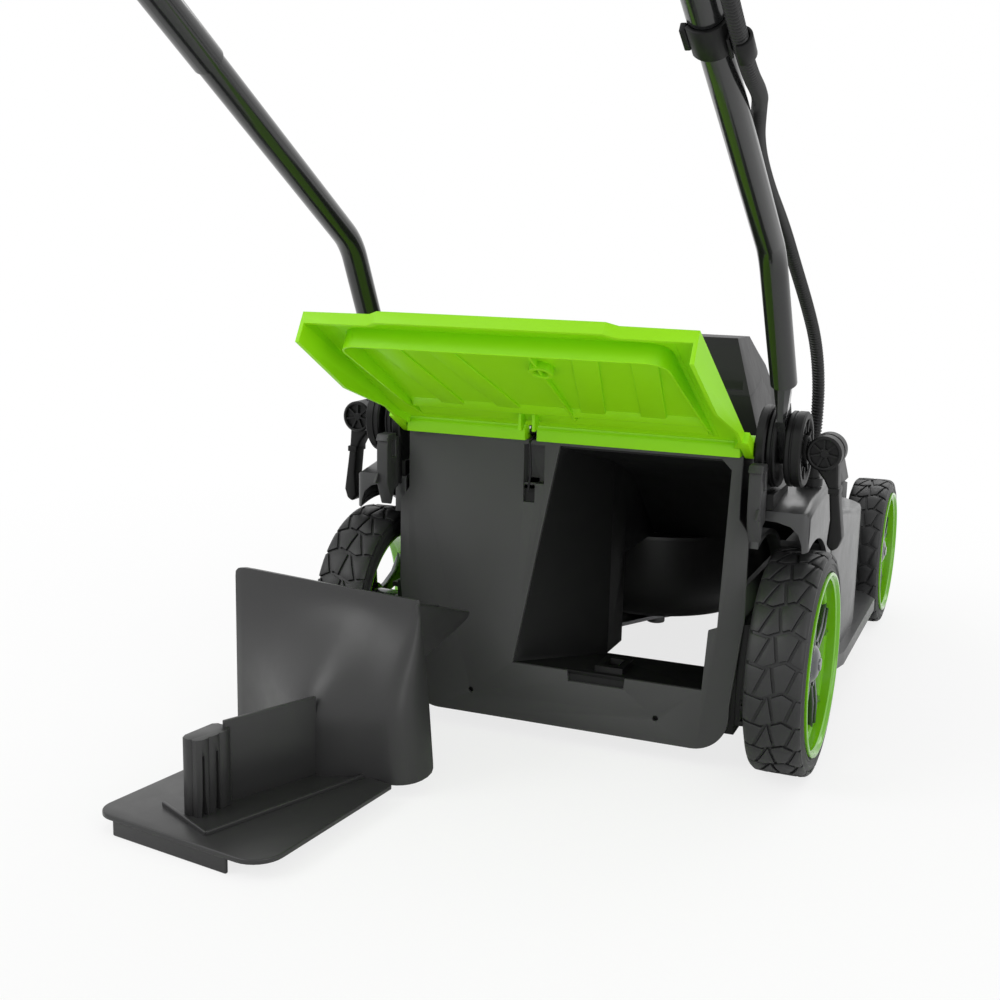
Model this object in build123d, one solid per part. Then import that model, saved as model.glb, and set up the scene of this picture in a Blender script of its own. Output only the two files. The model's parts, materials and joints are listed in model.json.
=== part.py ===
from build123d import *
import math
import os

# Rear-discharge push mower with two battery packs, its flap open and its mulch plug taken out.
# Millimetres. +Y is the front, +X the right-hand side, +Z up. The origin is on the ground,
# on the centre plane, under the rear face of the discharge panel.

# ---- driving sizes -------------------------------------------------------------------------
wall = 3.0                   # moulded wall
seat_gap = 0.3               # gap between curved faces of different bodies
run_gap = 0.05               # radial clearance of a running fit
hair = 0.1                   # gap that keeps neighbouring mouldings apart

deck_w = 376.0               # outside, round the blade
wheel_pocket = 42.0          # how far the deck draws in beside the wheels
deck_neck_w = deck_w - 2 * wheel_pocket
neck_half = deck_neck_w / 2
deck_bottom_z = 32.0
deck_top_z = 150.0
deck_nose = 60.0             # length of the tapered front of the deck
deck_chamfer = 46.0          # how far that front draws in

rear_wheel_r = 90.0
rear_tyre_w = 46.0
rear_axle_y = 35.0
rear_wheel_gap = 16.0        # from the deck's neck to the inside of a rear tyre
rear_outer_x = neck_half + rear_wheel_gap + rear_tyre_w
front_wheel_r = 80.0
front_tyre_w = 42.0
front_wheel_gap = 11.0
front_outer_x = neck_half + front_wheel_gap + front_tyre_w
wheel_base = 485.0
front_axle_y = rear_axle_y + wheel_base
deck_front_y = front_axle_y + 86
bulge_start = rear_axle_y + 107
bulge_end = front_axle_y - 96
axle_r = 5.0
stub_x = neck_half + 1       # inner end of a rear stub axle
hub_r = 15.0
arch_gap = 10.0              # between a tyre and the arch over it

panel_w = deck_neck_w + 8    # rear panel across, below the flap
panel_top_w = deck_neck_w - 8
panel_bottom_z = 16.0
panel_top_z = 257.0
panel_step_z = panel_top_z - 61
panel_hole_x = 82.0
panel_hole_z = panel_bottom_z + 20.5
panel_hole_r = 2.5
spring_slot_x = -38.0        # left edge of the spring's channel in the panel
spring_slot_w = 18.0

chute_top_z = panel_top_z - 3
chute_bottom_z = 66.0
chute_left_top = -7.0
chute_left_bottom = -44.0
chute_right = neck_half - 12
chute_right_low = chute_right - 15
tunnel_y = 62.0              # where the chute's funnel ends
tunnel_end_y = 196.0
tunnel_left = 20.0
tunnel_right = neck_half - 16
tunnel_top_z = chute_top_z - 20

spindle_y = (bulge_start + bulge_end) / 2 + 2
blade_len = 358.0
blade_w = 46.0
blade_t = 3.6
blade_z = deck_bottom_z + 14
blade_turn = 62.0            # degrees, as the blade has stopped
shaft_r = 7.5
motor_r = 56.0
motor_h = 66.0
pod_r = 100.0                # motor pod that hangs in the blade chamber
pod_bottom_z = blade_z + 14
bearing_r = 16.0
bearing_h = 8.0
chamber_r = deck_w / 2 - 4
arm_gap = 0.4                # between the flap's hinge arms and the panel
arm_r = 9.0

hinge_y = 8.0
hinge_z = panel_top_z + 7
hinge_half = panel_w / 2     # half the length of the flap's hinge line
hinge_rod_r = 3.0
strip_half = panel_top_w / 2 - 1
flap_angle = 29.6            # how far the open flap rises from level
flap_len = 207.0
flap_half = hinge_half - 4
flap_skirt = 24.0
flap_t = 3.0
flap_near = 17.5             # nearest the plate comes to the hinge line, to clear the strip
tray_half = flap_half - 23
tray_near = 60.0
tray_far = flap_len - 23
tray_depth = 17.0            # of the tray's far wall, below the flap's upper face
tray_shallow = 8.0           # and of its near one
far_lip = 9.0

pivot_y = 30.0
pivot_z = hinge_z - 2
disc_r = 27.0
ear_x = hinge_half + 1
ear_t = 7.5
disc_t = 6.0
blade_end_t = 7.0            # flattened end of a handle tube
blade_end_w = 25.0
drum_t = 9.0                 # outer disc of the handle's pivot
washer_t = 6.2               # room for the washer under the cam
rod_r = 4.0
cam_r = 13.5
cam_len = 32.0
cam_swing = 110.0            # degrees from clamped to open
trunnion_r = 3.0
ear_out = ear_x + ear_t
disc_in = ear_out + seat_gap
blade_in = disc_in + disc_t
blade_out = blade_in + blade_end_t
disc_out = blade_out + drum_t
cam_x = disc_out + washer_t + cam_r

tube_r = 10.0
tube_wall = 1.2
handle_x = blade_in + 2.2
bend_y = pivot_y - 87
bend_z = pivot_z + 150
upper_pitch = 31.0           # degrees above level
joint_run = 224.0            # from the bend to the joint of the two handle parts
upper_run = 640.0            # from the joint to the middle of the crossbar
upper_r = tube_r + run_gap + tube_wall

cowl_half = panel_top_w / 2 - 0.5
hood_half = cowl_half + 3.5  # at the hood's widest
lid_half = hood_half - 27    # at the lid's flat top
hood_rear_y = 74.0
hood_front_y = 440.0
hood_foot_z = deck_top_z + 46
hood_edge_z = hood_foot_z + 40
lid_seam_z = hood_foot_z + 100
lid_top_z = lid_seam_z + 46
lid_ridge_y = 206.0          # where the lid's top starts to fall
lid_break_y = 418.0
lid_axis_y = hood_front_y - 1
lid_axis_z = hood_edge_z - 3
lug_r = 4.5
lug_x = 80.0
lid_pin_r = 2.0
bay_half = hood_half - 31    # battery bay
bay_floor_z = lid_seam_z - 40.5
pack_w = 82.0
pack_l = 132.0
pack_h = 64.0
pack_y = hood_rear_y + 18
pack_x = 6.0                 # from the centre plane to a pack
window_half = 60.0
window_y = 250.0
window_l = 80.0
cover_top_z = deck_top_z + 76
cover_back_z = cover_top_z - 10

os.makedirs("parts", exist_ok=True)
nodes = {}


# ---- helpers -------------------------------------------------------------------------------
def box(x0, x1, y0, y1, z0, z1):
    return Pos((x0 + x1) / 2, (y0 + y1) / 2, (z0 + z1) / 2) * Box(x1 - x0, y1 - y0, z1 - z0)


def rod_x(radius, x0, x1, y, z):
    return Pos((x0 + x1) / 2, y, z) * Rot(0, 90, 0) * Cylinder(radius, x1 - x0)


def rod_y(radius, y0, y1, x, z):
    return Pos(x, (y0 + y1) / 2, z) * Rot(90, 0, 0) * Cylinder(radius, y1 - y0)


def rod_z(radius, z0, z1, x, y):
    return Pos(x, y, (z0 + z1) / 2) * Cylinder(radius, z1 - z0)


def side_plate(points, x0, x1):
    """A plate with the outline points (y, z), from x0 to x1."""
    face = Plane.YZ * Polygon(*points, align=None)
    return Pos(x0, 0, 0) * extrude(face, amount=x1 - x0, dir=(1, 0, 0))


def plan_plate(points, z0, z1):
    """A plate with the outline points (x, y), from z0 to z1."""
    return Pos(0, 0, z0) * extrude(Polygon(*points, align=None), amount=z1 - z0, dir=(0, 0, 1))


def back_plate(points, y0, y1):
    """A plate with the outline points (x, z), from y0 to y1."""
    face = Plane(origin=(0, y0, 0), x_dir=(1, 0, 0), z_dir=(0, -1, 0)) * Polygon(*points, align=None)
    return extrude(face, amount=y1 - y0, dir=(0, 1, 0))


def mirrored(shape):
    return mirror(shape, about=Plane.YZ)


def round_edges(shape, edges, radius):
    picked = list(edges)
    return fillet(picked, radius) if picked else shape


def add(name, shape):
    if isinstance(shape, (list, tuple)):
        shape = Compound(children=list(shape))
    nodes[name] = shape


def tube_along(points, bend_r, radius, thickness=0.0):
    path = FilletPolyline(*points, radius=bend_r)
    start = Plane(origin=path @ 0, z_dir=path % 0)
    solid = sweep(start * Circle(radius), path=path)
    if thickness:
        solid -= sweep(start * Circle(radius - thickness), path=path)
    return solid


# ---- deck ----------------------------------------------------------------------------------
def round_side(radius, neck):
    """Points (x, y) along the side of the round deck, from where it leaves the neck to where it meets it again."""
    reach = math.acos(neck / radius)
    return [(radius * math.cos(reach * k / 5), spindle_y + radius * math.sin(reach * k / 5)) for k in range(-5, 6)]


def deck_outline(inset):
    neck = neck_half - inset
    back = wall + inset
    half = [(neck, back)] + round_side(deck_w / 2 - inset, neck)
    half += [(neck, deck_front_y - deck_nose), (neck - deck_chamfer, deck_front_y - inset)]
    return half + [(-x, y) for x, y in reversed(half)]


def cowl_profile(inset):
    return [(wall + inset, deck_top_z - 1), (wall + inset, panel_top_z - inset),
            (tunnel_y, panel_top_z - 5 - inset), (hood_rear_y + 76, panel_top_z - 13 - inset),
            (hood_front_y - 20, hood_foot_z + 18 - inset), (deck_front_y - 62, deck_top_z + 28 - inset),
            (deck_front_y - 22 - inset, deck_top_z - 1)]


def make_deck():
    skirt = plan_plate(deck_outline(0), deck_bottom_z, deck_top_z)
    cowl = side_plate(cowl_profile(0), -cowl_half, cowl_half)
    shell = skirt + cowl
    shell -= plan_plate(deck_outline(wall), deck_bottom_z - 1, deck_top_z - wall)
    shell -= side_plate(cowl_profile(wall), -cowl_half + wall, cowl_half - wall)
    floor = plan_plate(deck_outline(wall + hair), deck_top_z - wall, deck_top_z)
    shell += floor
    shell -= rod_z(motor_r + 4, deck_top_z - 10, deck_top_z + 10, 0, spindle_y)
    shell -= duct_block(wall + hair)
    shell -= box(spring_slot_x - 3, spring_slot_x + spring_slot_w + 3, 0, wall + 11, panel_top_z - 41, panel_top_z + 1)
    shell -= rod_x(axle_r, -front_outer_x, front_outer_x, front_axle_y, front_wheel_r)
    shell -= box(-bay_half + 9, bay_half - 9, hood_rear_y + 70, hood_front_y - 30, deck_top_z + 10, lid_seam_z)
    return shell


def duct_sections(grow):
    back = [(chute_left_bottom - grow, chute_bottom_z - grow), (chute_right + grow, chute_bottom_z - grow),
            (chute_right + grow, chute_top_z - 2 + min(grow, 0.5)), (chute_left_top - grow, chute_top_z - 2 + min(grow, 0.5))]
    mid = [(tunnel_left - grow, chute_bottom_z - grow), (tunnel_right + grow, chute_bottom_z - grow),
           (tunnel_right + grow, tunnel_top_z + grow), (tunnel_left - grow, tunnel_top_z + grow)]
    return back, mid


def duct_block(grow):
    """The chute's space, from the panel down into the blade chamber, grown by a wall."""
    back, mid = duct_sections(grow)
    first = loft([Plane(origin=(0, wall, 0), x_dir=(1, 0, 0), z_dir=(0, -1, 0)) * Polygon(*back, align=None),
                  Plane(origin=(0, tunnel_y, 0), x_dir=(1, 0, 0), z_dir=(0, -1, 0)) * Polygon(*mid, align=None)],
                 ruled=True)
    throat = [(tunnel_y, chute_bottom_z - grow), (tunnel_y, tunnel_top_z + grow),
              (bulge_start - 24, tunnel_top_z - 20 + grow), (tunnel_end_y, deck_top_z - wall),
              (tunnel_end_y, chute_bottom_z - grow)]
    second = side_plate(throat, tunnel_left - grow, tunnel_right + grow)
    return first + second


def make_tunnel():
    duct = duct_block(wall)
    duct -= duct_block(0)
    past = tunnel_end_y + 2 * wall
    duct -= box(tunnel_left - 20, tunnel_right + 20, tunnel_y, past, 0, chute_bottom_z + 0.1)
    duct -= box(tunnel_left - 20, tunnel_right + 20, tunnel_end_y - 0.01, past, 0, panel_top_z)
    chamber = rod_z(chamber_r, 0, deck_top_z - wall + 0.01, 0, spindle_y)
    duct -= chamber
    clip_x = tunnel_left + 6
    clip = box(clip_x, clip_x + 24, wall + 6, wall + 37, chute_bottom_z, chute_bottom_z + 5)
    clip -= box(clip_x + 6, clip_x + 18, wall + 12, wall + 31, chute_bottom_z - 1, chute_bottom_z + 6)
    return max((duct + clip).solids(), key=lambda s: s.volume)


def make_panel():
    half = panel_w / 2
    top = panel_top_w / 2
    low = half - 8
    outline = [(-low, panel_bottom_z), (low, panel_bottom_z), (low, panel_bottom_z + 40),
               (half, panel_step_z - 70), (half, panel_step_z), (top, panel_step_z + 12), (top, panel_top_z),
               (-top, panel_top_z), (-top, panel_step_z + 12), (-half, panel_step_z), (-half, panel_step_z - 70),
               (-low, panel_bottom_z + 40)]
    plate = back_plate(outline, 0, wall)
    plate = round_edges(plate, plate.edges().filter_by(Axis.Y).group_by(Axis.Z)[0], 30)
    notch = tunnel_left - 15
    opening = [(chute_left_bottom, chute_bottom_z), (notch, chute_bottom_z), (notch + 1, chute_bottom_z - 9),
               (notch + 49, chute_bottom_z - 9), (notch + 50, chute_bottom_z), (chute_right_low, chute_bottom_z),
               (chute_right_low + 3, chute_bottom_z + 50), (chute_right - 5, chute_bottom_z + 53),
               (chute_right, chute_top_z - 8), (chute_right - 8, chute_top_z), (chute_left_top, chute_top_z)]
    plate -= back_plate(opening, -1, wall + 1)
    for x in (-panel_hole_x, panel_hole_x):
        plate -= rod_y(panel_hole_r, -1, wall + 1, x, panel_hole_z)
    left = spring_slot_x
    right = spring_slot_x + spring_slot_w
    low_z = panel_top_z - 36
    plate -= box(left, right, -1, wall + 1, low_z, panel_top_z - 4)
    plate -= box(left, right - 8, -1, wall + 1, low_z - 16, low_z + 1)
    pocket = box(left - 2, right + 2, wall, wall + 10, low_z - 2, panel_top_z)
    pocket -= box(left, right, wall - 1, wall + 8, low_z, panel_top_z - 2)
    pocket -= box(left, right - 8, wall + 1, wall + 11, low_z - 4, low_z + 3)
    return plate + pocket


add("deck_shell", make_deck())
add("discharge_tunnel", make_tunnel())
add("rear_panel", make_panel())

strip = box(-strip_half, strip_half, hinge_y - 15, hinge_y - 4, panel_top_z + hair, hinge_z + 6)
strip = round_edges(strip, strip.edges().filter_by(Axis.X).group_by(Axis.Z)[-1], 5)
strip += box(-strip_half, strip_half, hinge_y - 5, hinge_y + 6, panel_top_z + hair, hinge_z - hinge_rod_r)
strip -= rod_x(hinge_rod_r, -hinge_half, hinge_half, hinge_y, hinge_z)
coil_x = spring_slot_x + 3   # left end of the gap for the spring's coil
coil_w = 10.0
strip -= box(coil_x, coil_x + coil_w, hinge_y - 16, hinge_y + 12, panel_top_z - 7, hinge_z + 11)
add("hinge_strip", strip)
add("hinge_rod", rod_x(hinge_rod_r - run_gap, -hinge_half, hinge_half, hinge_y, hinge_z))


# ---- rear flap: its own frame runs out from the hinge (s) and away from its upper face (n) --
flap_frame = Plane(origin=(0, hinge_y, hinge_z),
                   x_dir=(1, 0, 0),
                   z_dir=(0, math.sin(math.radians(flap_angle)), math.cos(math.radians(flap_angle))))
flap_place = Location(flap_frame)


def flap_box(x0, x1, s0, s1, n0, n1):
    """A block in the flap's frame: s grows away from the hinge, n out of the upper face."""
    return box(x0, x1, -s1, -s0, n0, n1)


def make_tray(inset):
    """The tray pressed down into the flap: deep at its far wall, shallow near the hinge."""
    near = tray_near + inset
    far = tray_far - inset
    top = 1 if inset else -flap_t
    profile = [(-near, top), (-far, top), (-far, inset - tray_depth), (-near, inset - tray_shallow)]
    tray = side_plate(profile, inset - tray_half, tray_half - inset)
    return round_edges(tray, tray.edges().filter_by(Axis.Z), 12 - inset)


def make_flap():
    step = flap_half - 54
    edge = [(-flap_half, -flap_len + 6), (-step, -flap_len + 5), (-step + 8, -flap_len), (step - 8, -flap_len),
            (step, -flap_len + 5), (flap_half, -flap_len + 6), (flap_half, -26), (flap_half - 8, -8),
            (8 - flap_half, -8), (-flap_half, -26)]
    block = plan_plate(edge, -flap_skirt, 0)
    half_way = -flap_len / 2
    inner = [(x * (1 - flap_t / flap_half), y + (flap_t if y < half_way else -flap_t * 2)) for x, y in edge]
    block -= plan_plate(inner, -flap_skirt - 1, -flap_t)
    between_arms = strip_half + 0.8
    block -= flap_box(-between_arms, between_arms, 0, flap_near, -flap_skirt - 1, 1)
    full = tray_far - 64         # where the skirt reaches its full depth
    taper = [(-20, -arm_r), (10 - tray_near, -arm_r), (-full, -flap_skirt), (-full, -flap_skirt - 1),
             (0, -flap_skirt - 1), (0, -arm_r)]
    block -= side_plate(taper, -flap_half - 1, flap_half + 1)
    block -= flap_box(flap_t - flap_half, flap_half - flap_t, flap_len - 12, flap_len + 1, -flap_skirt - 1, -far_lip)
    flap = block + make_tray(0) - make_tray(flap_t)
    rib_side = [(-tray_near, -tray_shallow - 3), (16 - tray_far, -tray_depth - 2), (16 - tray_far, -tray_shallow),
                (-tray_near, -tray_shallow + 1)]
    flap += side_plate(rib_side, -1, 1)
    boss_s = (tray_near + tray_far) / 2 - 10
    boss_n = -(tray_depth + tray_shallow) / 2
    boss = rod_z(9, boss_n - 4, boss_n + 2, 3, -boss_s)
    flap += boss - rod_z(6.5, boss_n - 5, boss_n - 1.5, 3, -boss_s)
    for x in (coil_x - 1, coil_x + coil_w):
        flap += flap_box(x, x + 3, 26, 40, -flap_t - 8, -flap_t + 1)
    for side in (-1, 1):
        x0, x1 = sorted((side * (panel_top_w / 2 + arm_gap), side * hinge_half))
        arm = box(x0, x1, -30, 0, -arm_r, 0) + rod_x(arm_r, x0, x1, 0, 0)
        flap += arm
        flap -= rod_x(hinge_rod_r + run_gap, x0 - 1, x1 + 1, 0, 0)
    return flap_place * flap


add("rear_flap", make_flap())


coil_mid = coil_x + coil_w / 2
spring_coil = rod_x(5.4, coil_x + 1, coil_x + coil_w - 1, hinge_y, hinge_z)
spring_coil -= rod_x(hinge_rod_r + seat_gap, coil_x, coil_x + coil_w, hinge_y, hinge_z)
spring_leg = tube_along([(coil_mid, hinge_y - 3, hinge_z - 4), (coil_mid, hinge_y - 17, hinge_z - 7),
                         (coil_mid, -4.5, panel_top_z - 25), (coil_mid - 3, -2, panel_top_z - 43)], 3.0, 1.0)
add("flap_spring", spring_coil + spring_leg)

# ---- wheels --------------------------------------------------------------------------------


def make_wheel(radius, width, outer_x, axle_y):
    """Tyre, rim and hub of a right-hand wheel that stands on the ground."""
    ring = 0.80 * radius
    x1 = outer_x
    x0 = outer_x - width
    tyre = rod_x(radius, x0, x1, axle_y, radius)
    tyre = round_edges(tyre, tyre.edges().filter_by(GeomType.CIRCLE), 7)
    tyre -= rod_x(ring - 1.0, x0 - 1, x1 + 1, axle_y, radius)
    rim = rod_x(ring - 1.0, x0 + 3, x1 + 1.2, axle_y, radius) + rod_x(ring + 2.0, x1 - 1, x1 + 1.2, axle_y, radius)
    rim -= rod_x(ring - 7.0, x0 - 1, x1 + 2, axle_y, radius)
    tyre -= rod_x(ring + 2.0, x1 - 1, x1 + 2, axle_y, radius)
    hub = rod_x(hub_r, x0 + 2, x1 - 5, axle_y, radius)
    disc = rod_x(ring - 7.0, x1 - 15, x1 - 8, axle_y, radius)
    gap = ring - 7.0 - 5
    for k in range(5):
        cut = Pos(0, axle_y, radius) * Rot(72 * k, 0, 0) * Pos(0, -axle_y, -radius) * side_plate(
            [(axle_y + (hub_r + 7) * math.cos(a), radius + (hub_r + 7) * math.sin(a)) for a in (-0.28, 0.28)]
            + [(axle_y + gap * math.cos(a), radius + gap * math.sin(a)) for a in (0.46, 0.2, -0.2, -0.46)],
            x1 - 20, x1 - 6)
        disc -= cut
    hub += disc
    hub -= rod_x(axle_r + run_gap, x0 - 1, x1 - 13, axle_y, radius)
    hub -= rod_x(8.6, x1 - 22, x1 - 12.9, axle_y, radius)
    return tyre, rim, hub


for label, radius, width, outer_x, axle_y in (("rear", rear_wheel_r, rear_tyre_w, rear_outer_x, rear_axle_y),
                                              ("front", front_wheel_r, front_tyre_w, front_outer_x, front_axle_y)):
    tyre, rim, hub = make_wheel(radius, width, outer_x, axle_y)
    for piece, shape in (("tyre", tyre), ("rim", rim), ("hub", hub)):
        add(f"{label}_{piece}_right", shape)
        add(f"{label}_{piece}_left", mirrored(shape))
    axle_end = outer_x - 13.5
    if label == "front":
        add("front_axle", rod_x(axle_r, -axle_end, axle_end, axle_y, radius))
    else:
        stub = rod_x(axle_r, stub_x, axle_end, axle_y, radius)
        add("rear_axle_stubs", [stub, mirrored(stub)])


def axle_nuts():
    nuts = []
    for radius, outer_x, axle_y in ((rear_wheel_r, rear_outer_x, rear_axle_y),
                                    (front_wheel_r, front_outer_x, front_axle_y)):
        for side in (-1, 1):
            x0, x1 = sorted((side * (outer_x - 21), side * (outer_x - 14)))
            nuts.append(rod_x(8.0, x0, x1, axle_y, radius) - rod_x(axle_r, x0 - 1, x1 + 1, axle_y, radius))
    return nuts


add("axle_nuts", axle_nuts())


def make_axle_bracket():
    x0 = neck_half + hair
    rib_x = x0 + rear_wheel_gap - 3
    rib_z = rear_wheel_r - 50
    block = box(x0, x0 + rear_wheel_gap / 2, wall + hair, rear_axle_y + 31, rear_wheel_r - 28, rear_wheel_r + 34)
    block += rod_x(hub_r - 1, x0, rear_outer_x - rear_tyre_w - 2, rear_axle_y, rear_wheel_r)
    for z in [rib_z + 13 * k for k in range(7)]:
        block += box(x0, rib_x, wall + hair, rear_axle_y - 11, z, z + 4)
    block += box(x0, x0 + 4, wall + hair, rear_axle_y - 11, rib_z, rib_z + 82)
    block -= rod_x(axle_r, x0 - 1, rear_outer_x, rear_axle_y, rear_wheel_r)
    return block


bracket = make_axle_bracket()
add("rear_axle_brackets", [bracket, mirrored(bracket)])


# ---- outside covers ------------------------------------------------------------------------
cover_back_y = wall + 1
cover_front_y = bulge_end + 34
ledge_z = deck_bottom_z + 12
ledge_h = 12.0
ledge_out = 15.0             # how far the ledge stands out from the deck


def side_outline(inset):
    """Outline (y, z) of a side cover. Its ends run on past the wheel arches, which are cut later."""
    arch_top = rear_wheel_r + arch_gap
    foot_z = ledge_z + ledge_h - 4
    front = cover_front_y
    return [(cover_back_y + inset, 176), (cover_back_y + inset, cover_back_z - inset), (38, cover_back_z + 6 - inset),
            (116, cover_top_z - inset), (158, cover_top_z - 34 - inset), (270, cover_top_z - 54 - inset),
            (front - 60, cover_top_z - 66 - inset), (front - inset, cover_top_z - 80 - inset),
            (front - inset, arch_top + 20), (front - 18, arch_top - 8),
            (bulge_end + 6, foot_z), (bulge_start - 8, foot_z), (bulge_start - 14, arch_top - 20),
            (bulge_start - 16, arch_top)]


def cover_plan(inset):
    """Outline (x, y) of a side cover from above: straight beside the rear wheel, then round with the deck."""
    wide = deck_w / 2 + 7 - inset
    neck = neck_half + 7 - inset
    front = [(x, y) for x, y in round_side(wide, neck) if y > spindle_y]
    return [(neck_half - 9, 0), (wide, 0), (wide, spindle_y)] + front + [(neck, cover_front_y + 9), (neck_half - 9, cover_front_y + 9)]


def make_side_cover():
    x_in = neck_half + 1
    x_out = deck_w / 2 + 7
    rear_arch = rear_wheel_r + arch_gap
    front_arch = front_wheel_r + arch_gap
    cover = side_plate(side_outline(0), x_in, x_out)
    top = cover.edges().group_by(Axis.X)[-1].filter_by(lambda e: e.center().Z > cover_top_z - 61)
    cover = round_edges(cover, top, 6) & plan_plate(cover_plan(0), 0, cover_top_z + 5)
    hollow = side_plate(side_outline(4), x_in - 1, x_out - 4) & plan_plate(cover_plan(4), 0, cover_top_z + 5)
    hollow -= rod_x(rear_arch + 4, x_in - 2, x_out, rear_axle_y, rear_wheel_r)
    hollow -= rod_x(front_arch + 4, x_in - 2, x_out, front_axle_y, front_wheel_r)
    cover -= hollow
    cover -= rod_x(rear_arch, x_in - 2, x_out + 2, rear_axle_y, rear_wheel_r)
    cover -= rod_x(front_arch, x_in - 2, x_out + 2, front_axle_y, front_wheel_r)
    cover -= plan_plate(deck_outline(-hair), deck_bottom_z - 1, deck_top_z + hair)
    mid_z = ledge_z + ledge_h / 2
    top_z = ledge_z + ledge_h
    ledge = side_plate([(bulge_start, ledge_z), (bulge_end + 2, ledge_z), (bulge_end + 2, mid_z), (bulge_end - 4, top_z),
                        (bulge_start + 8, top_z), (bulge_start, mid_z)], x_in, deck_w / 2 + ledge_out)
    ledge &= plan_plate([(neck_half, bulge_start), (x_out - 3, bulge_start), (deck_w / 2 + ledge_out, bulge_start + 50),
                         (deck_w / 2 + ledge_out, bulge_end - 30), (x_out - 12, bulge_end + 3), (neck_half, bulge_end + 3)],
                        0, deck_top_z)
    ledge -= plan_plate(deck_outline(-hair), 0, deck_top_z)
    ledge -= rod_x(front_arch, x_in - 2, x_out + ledge_out, front_axle_y, front_wheel_r)
    ledge -= rod_x(rear_arch, x_in - 2, x_out + ledge_out, rear_axle_y, rear_wheel_r)
    return max((cover + ledge).solids(), key=lambda q: q.volume)


side_cover = make_side_cover()
add("side_cover_right", side_cover)
add("side_cover_left", mirrored(side_cover))


def make_bumper():
    back = deck_front_y - deck_nose + 2
    outer = [(neck_half + 4, back), (neck_half - 42, deck_front_y + 12), (42 - neck_half, deck_front_y + 12),
             (-neck_half - 4, back)]
    shell = plan_plate(outer, deck_bottom_z + 12, deck_top_z - 32)
    shell = round_edges(shell, shell.edges().filter_by(Axis.Z).group_by(Axis.Y)[-1], 18)
    shell -= plan_plate(deck_outline(-hair), deck_bottom_z, deck_top_z)
    return shell


add("front_bumper", make_bumper())


# ---- hood, bay and lid ---------------------------------------------------------------------
hood_step = hood_half - 5
trim_top = lid_top_z + 3
hood_block = back_plate([(-hood_step, hood_foot_z - 6), (hood_step, hood_foot_z - 6), (hood_step, hood_edge_z),
                         (hood_half, hood_edge_z + 1), (lid_half, trim_top), (-lid_half, trim_top),
                         (-hood_half, hood_edge_z + 1), (-hood_step, hood_edge_z)], 0, deck_front_y)
seam_y = lid_ridge_y + 14    # where the seam between hood and lid turns down
hood_profile = [(hood_rear_y, hood_edge_z), (hood_rear_y - 6, lid_seam_z), (seam_y, lid_seam_z),
                (hood_front_y, hood_edge_z), (hood_front_y + 16, hood_foot_z), (hood_rear_y, hood_foot_z)]
lid_break_z = lid_top_z - 80
lid_profile = [(hood_rear_y - 6, lid_seam_z + hair), (hood_rear_y + 6, lid_top_z), (lid_ridge_y, lid_top_z),
               (lid_break_y, lid_break_z), (hood_front_y, hood_edge_z + hair), (seam_y, lid_seam_z + hair)]


def trim_sides(shape):
    return shape & hood_block


def inset_profile(points, amount):
    face = Plane.YZ * Polygon(*points, align=None)
    return offset(face, amount=-amount, kind=Kind.INTERSECTION)


def make_hood():
    shell = trim_sides(side_plate(hood_profile, -hood_half - 1, hood_half + 1))
    shell -= box(-bay_half, bay_half, hood_rear_y + 2, hood_front_y - 8, hood_foot_z - 6, lid_top_z)
    shell -= side_plate(cowl_profile(-hair), -cowl_half - hair, cowl_half + hair)
    bay_end = hood_rear_y + pack_l + 30
    floor = box(-bay_half + hair, bay_half - hair, hood_rear_y + 2, bay_end, bay_floor_z - wall, bay_floor_z)
    rim = box(-bay_half + 3.2, bay_half - 3.2, bay_end - wall, bay_end, bay_floor_z - wall, lid_seam_z - 6)
    shell = shell + floor + rim
    shell += rod_x(3.5, -lug_x - 18, lug_x + 18, lid_axis_y - 1, lid_axis_z - 6)
    for x in (-lug_x, lug_x):
        shell -= rod_x(lug_r + 0.5, x - 10.4, x + 10.4, lid_axis_y, lid_axis_z)
        shell -= rod_x(lid_pin_r, x - 18, x + 18, lid_axis_y, lid_axis_z)
    return max(shell.solids(), key=lambda q: q.volume)


add("motor_hood", make_hood())


def make_lid():
    outer = trim_sides(side_plate(lid_profile, -hood_half - 1, hood_half + 1))
    inner_half = bay_half - 3
    inner = Pos(-inner_half, 0, 0) * extrude(inset_profile(lid_profile, wall), amount=2 * inner_half, dir=(1, 0, 0))
    inner += Pos(0, 0, -3.5) * inner
    outer -= inner
    outer -= box(-window_half, window_half, window_y, window_y + window_l, lid_break_z + 8, lid_top_z + 3)
    for x in (-lug_x, lug_x):
        outer += rod_x(lug_r, x - 10, x + 10, lid_axis_y, lid_axis_z)
        outer -= rod_x(lid_pin_r + run_gap, x - 11, x + 11, lid_axis_y, lid_axis_z)
    return max(outer.solids(), key=lambda q: q.volume)


add("battery_lid", make_lid())
lid_fall = (lid_top_z - lid_break_z) / (lid_break_y - lid_ridge_y)
window_ends = [(y, lid_top_z - (y - lid_ridge_y) * lid_fall) for y in (window_y + hair, window_y + window_l - hair)]
window = side_plate([(y, z - wall) for y, z in window_ends] + [(y, z) for y, z in reversed(window_ends)],
                    hair - window_half, window_half - hair)
add("lid_window", window)
pin_half = 17.0
add("lid_pins", [rod_x(lid_pin_r, x - pin_half, x + pin_half, lid_axis_y, lid_axis_z) for x in (-lug_x, lug_x)])

pack_z = bay_floor_z + hair
pack_top = pack_z + pack_h
for side, label in ((-1, "left"), (1, "right")):
    x0, x1 = sorted((side * pack_x, side * (pack_x + pack_w)))
    pack = box(x0, x1, pack_y, pack_y + pack_l, pack_z, pack_top)
    pack = round_edges(pack, pack.edges().filter_by(Axis.Z), 8)
    pack -= box(x0 + 12, x1 - 12, pack_y + 8, pack_y + pack_l - 8, pack_top - 4, pack_top + 1)
    add(f"battery_{label}", pack)

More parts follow.
